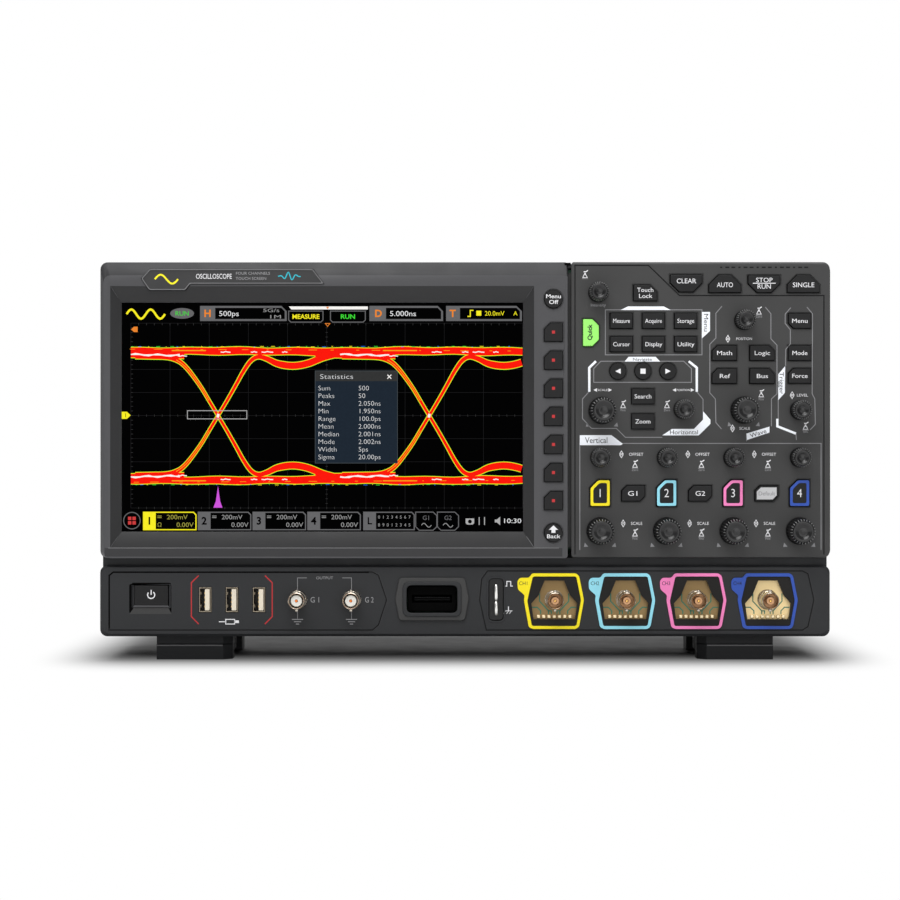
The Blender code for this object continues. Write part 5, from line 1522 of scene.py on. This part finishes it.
def draw_right_end(screen):
    """The logic, generator and clock readouts."""
    draw_box(screen, 135.4, 164.4, 117.4, 127.8, 1.6)
    window = [(142.6, 118.0), (162.6, 118.0), (163.8, 119.3), (163.8, 127.2), (142.6, 127.2)]
    screen.fill(GLOW_BLACK, window, layer=3)
    screen.words(GLOW_BLACK, "L", 139.0, BAR_MIDDLE, 3.8, layer=4, weight=0.02)
    for number in range(16):
        u = 144.3 + 2.45 * (number % 8)
        screen.words(GLOW_DIM, str(number % 10), u, 120.4 if number < 8 else 124.8, 1.7, layer=4)
    shape = [(0, 117.6), (9.8, 117.6), (11.9, 119.6), (11.9, 125.8), (9.8, 127.8), (2.0, 127.8), (0, 125.8)]
    for number, left in enumerate((164.9, 177.1), start=1):
        screen.frame(GLOW_PANEL, shifted(shape, left, 0), 0.5, layer=3)
        screen.words(GLOW_PANEL, f"G{number}", left + 6.0, 120.8, 2.4, layer=3)
        screen.line(GLOW_DIM, small_wave(left + 3.2, 125.0, 0.35, 1.1, 16, 17), 0.4, layer=3)
    screen.fill(GLOW_GREY, cut_corners(195.4, 122.9, 4.8, 3.4, 0.8), layer=3)
    screen.fill(GLOW_BLACK, circle(195.4, 122.9, 1.1, 16), layer=4)
    screen.fill(GLOW_GREY, rectangle(200.6, 122.6, 0.5, 4.4), rectangle(203.6, 122.6, 0.5, 4.4), layer=3)
    horn = [(209.4, 121.8), (210.6, 121.8), (212.4, 120.2), (212.4, 125.0), (210.6, 123.4), (209.4, 123.4)]
    screen.fill(GLOW_GREY, horn, layer=3)
    screen.words(GLOW_TEXT, "10:30", 224.4, BAR_MIDDLE, 2.5, 9.6, align="RIGHT", layer=3)


def build_display():
    """The lit picture: thin layers between the display unit and the cover glass."""
    screen = Print(DISPLAY_FACE, origin=(SCREEN_LEFT, SCREEN_TOP), down=True)
    for draw in (draw_grid, draw_traces, draw_status_bar, draw_results, draw_channel_bar, draw_right_end):
        draw(screen)
    screen.piece("display_picture", CASE, "display_unit")


# Legs, handle and the inside ---------------------------------------------------------

BOARD_BACK = -0.0184
CAPACITOR = [(0, 0.0085), (0.003, 0.0085), (0.0033, 0.008), (0.0033, -0.0001), (0, -0.0001)]
CAPACITOR_TOP = [(0, 0.0087), (0.0026, 0.0087), (0.0026, 0.008), (0, 0.008)]


def build_folding_parts():
    """The bench legs with a rubber pad each, and the handle with a ribbed grip."""
    for node in ("bench_leg_left", "bench_leg_right"):
        low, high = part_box(node)
        kit = Kit().add(refined(node, 0.0006, segments=3), CASE_PLASTIC)
        across, depth = (low.x + 0.005, high.x - 0.005), (high.y - 0.009, high.y - 0.0025)
        kit.add(block(across, depth, (low.z - 0.0004, low.z + 0.0012), 0.0004), RUBBER)
        kit.piece(node + "_skin", node, "case_grey", node)
    low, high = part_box("carrying_handle")
    kit = Kit().add(refined("carrying_handle", 0.0012, segments=4), CASE_PLASTIC)
    middle = high.y - 0.0055
    for row in range(24):
        x = -0.069 + 0.006 * row
        depth, up = (middle - 0.0059, middle + 0.0052), (low.z - 0.0003, high.z + 0.0003)
        kit.add(block((x - 0.0012, x + 0.0012), depth, up, 0.0006), RUBBER)
    kit.piece("carrying_handle_grip", "carrying_handle", "case_grey", "carrying_handle")


def chip(x, z, width, height, rise, board=BOARD_BACK):
    """A packaged circuit on a board that faces the back."""
    return bar(x, z, width, height, board - 0.0001, board + rise, 0.0003)


def build_board_parts():
    """Chips, small amber parts and capacitors on the acquisition board."""
    kit = Kit()
    for i in range(4):
        x = 0.05 + 0.034 * i
        kit.add(chip(x, 0.06, 0.014, 0.014, 0.0016, BOARD_BACK + 0.005 * (i in (0, 3))), BLACK)
        kit.add(chip(x - 0.006, 0.1, 0.009, 0.007, 0.0012), BLACK)
    for i in range(7):
        x = -0.16 + 0.016 * i
        kit.add(turned(CAPACITOR, x, BOARD_BACK, 0.072, 20, 1), BLACK)
        kit.add(turned(CAPACITOR_TOP, x, BOARD_BACK, 0.072, 20, 1), STEEL)
    for i in range(16):
        kit.add(chip(-0.165 + 0.0095 * i, 0.045, 0.0016, 0.003, 0.0008), AMBER)
        kit.add(chip(0.05 + 0.0082 * i, 0.19, 0.003, 0.0016, 0.0008), AMBER)
    kit.piece("board_components", CASE, "circuit_board")


def finish_nodes():
    """Finishes for the CAD nodes that keep their own shape."""
    looks = {"touch_glass": GLASS, "lcd_panel": TRAY, "chassis": STEEL, "power_supply": STEEL}
    looks.update({"main_board": CIRCUIT, "keypad_board": CIRCUIT, "fan_frame": BLACK, "fan_rotor": BLACK})
    for node, material in looks.items():
        for slot in NODES[node].material_slots:
            slot.material = material


# Studio ------------------------------------------------------------------------------

# Each light's place, aim, width and height in metres, and its power in watts.
LIGHTS = {
    "key_light": ((-0.25, -0.85, 1.15), (0, 0, 0.12), (1.1, 0.7), 10),
    "top_light": ((0.1, -0.15, 1.25), (0, 0.02, 0.1), (1.2, 0.6), 9),
    "front_light": ((0.5, -1.8, 0.5), (0, 0, 0.12), (1.2, 1.0), 5),
    "back_light": ((-0.3, 1.5, 1.0), (0, 0.05, 0.12), (1.4, 0.9), 3),
}


def add_to_scene(name, data, place, turn=(0, 0, 0)):
    obj = bpy.data.objects.new(name, data)
    obj.location = place
    obj.rotation_euler = turn
    bpy.context.scene.collection.objects.link(obj)
    return obj


def fade_from(tree, middle, half, far, stretch=1):
    """A value that rises from 0 to 1 with the distance outside a rectangle on the floor, sooner sideways."""
    last = shade(tree, "TexCoord", "Object")
    steps = (("SUBTRACT", (0, middle, 0)), ("ABSOLUTE", (0, 0, 0)), ("SUBTRACT", (*half, 0)))
    steps += (("MAXIMUM", (0, 0, 0)), ("MULTIPLY", (stretch, 1, 1)), ("LENGTH", (0, 0, 0)))
    for operation, value in steps:
        output = "Value" if operation == "LENGTH" else "Vector"
        last = shade(tree, "VectorMath", output, {0: last, 1: value}, operation=operation)
    fade = {"Value": last, "From Min": 0, "From Max": far}
    return shade(tree, "MapRange", "Result", fade, interpolation_type="SMOOTHSTEP")


def pale_floor():
    """White paper with a painted shadow, a dark patch under and behind the case, that fades to the backdrop
    beyond it.
    """
    material = surface("pale_floor", 0.88, 0.6, grain=0.02, mottle=0.01, gloss=0.1)
    tree = material.node_tree
    shader = tree.nodes["Principled BSDF"]
    tint = shader.inputs["Base Color"].links[0].from_socket
    # The dark patch under and behind the case is a painted shadow.
    contact = fade_from(tree, 0.05, (0.175, 0.08), 0.1)
    paper = {"A": (0.09, 0.09, 0.09, 1), "B": tint, "Factor": contact}
    set_inputs(tree, shader, {"Base Color": shade(tree, "Mix", "Result", paper, data_type="RGBA")})
    fade = fade_from(tree, 0.0875, (0.196, 0.0725), 0.165, stretch=3)
    camera_ray = shade(tree, "LightPath", "Is Camera Ray")
    seen = shade(tree, "Math", "Value", {0: fade, 1: camera_ray}, operation="MULTIPLY")
    layers = {"Fac": seen, 1: shader.outputs["BSDF"], 2: shade(tree, "Emission", "Emission")}
    mix = shade(tree, "MixShader", "Shader", layers)
    set_inputs(tree, tree.nodes["Material Output"], {"Surface": mix})
    return material


def build_studio():
    """A pale floor, four soft lights and a white backdrop that lights the object less than it shows."""
    scene = bpy.context.scene
    form = bmesh.new()
    bmesh.ops.create_grid(form, x_segments=2, y_segments=2, size=3.0)
    floor = add_to_scene("floor", to_mesh(form), (0, 0, -0.0004))
    floor.data.materials.append(pale_floor())
    for name, (place, aim, size, power) in LIGHTS.items():
        lamp = bpy.data.lights.new(name, "AREA")
        lamp.shape = "RECTANGLE"
        lamp.size, lamp.size_y = size
        lamp.energy = power
        add_to_scene(name, lamp, place, (Vector(aim) - Vector(place)).to_track_quat("-Z", "Y").to_euler())
    world = scene.world or bpy.data.worlds.new("studio")
    scene.world = world
    world.use_nodes = True
    tree = world.node_tree
    camera_ray = shade(tree, "LightPath", "Is Camera Ray")
    level = shade(tree, "MapRange", "Result", {"Value": camera_ray, "To Min": 0.38, "To Max": 1.0})
    set_inputs(tree, tree.nodes["Background"], {"Strength": level, "Color": (1, 1, 1, 1)})
    scene.view_settings.view_transform = "Standard"


def build_camera():
    """Square on to the front panels, level with the middle of the case."""
    view = bpy.data.cameras.new("camera")
    view.lens = 100
    view.clip_end = 20
    place = (-0.0084, CONTROL_FACE - 1.4, 0.1187)
    bpy.context.scene.camera = add_to_scene("camera", view, place, (pi / 2, 0, 0))


def build():
    build_display_bezel()
    build_badge()
    build_control_panel()
    build_connector_panel()
    build_rear_cover()
    build_back_details()
    build_rear_sockets()
    build_mains_inlet()
    for number in range(1, 5):
        build_coaxial(f"bnc_channel_{number}", AMBER)
        build_channel_surround(number)
    for number in (1, 2):
        build_coaxial(f"bnc_generator_{number}", INSULATOR, WIDE_INNER, ORANGE_PIN)
    build_contact_board()
    build_usb()
    build_logic_port()
    build_terminals()
    build_connector_marks()
    build_keys()
    build_soft_keys()
    build_power_key()
    for node in sorted(NODES):
        if node.startswith("knob_"):
            build_knob(node)
    build_panel_marks()
    build_display()
    build_folding_parts()
    build_board_parts()
    finish_nodes()
    build_studio()
    build_camera()


build()
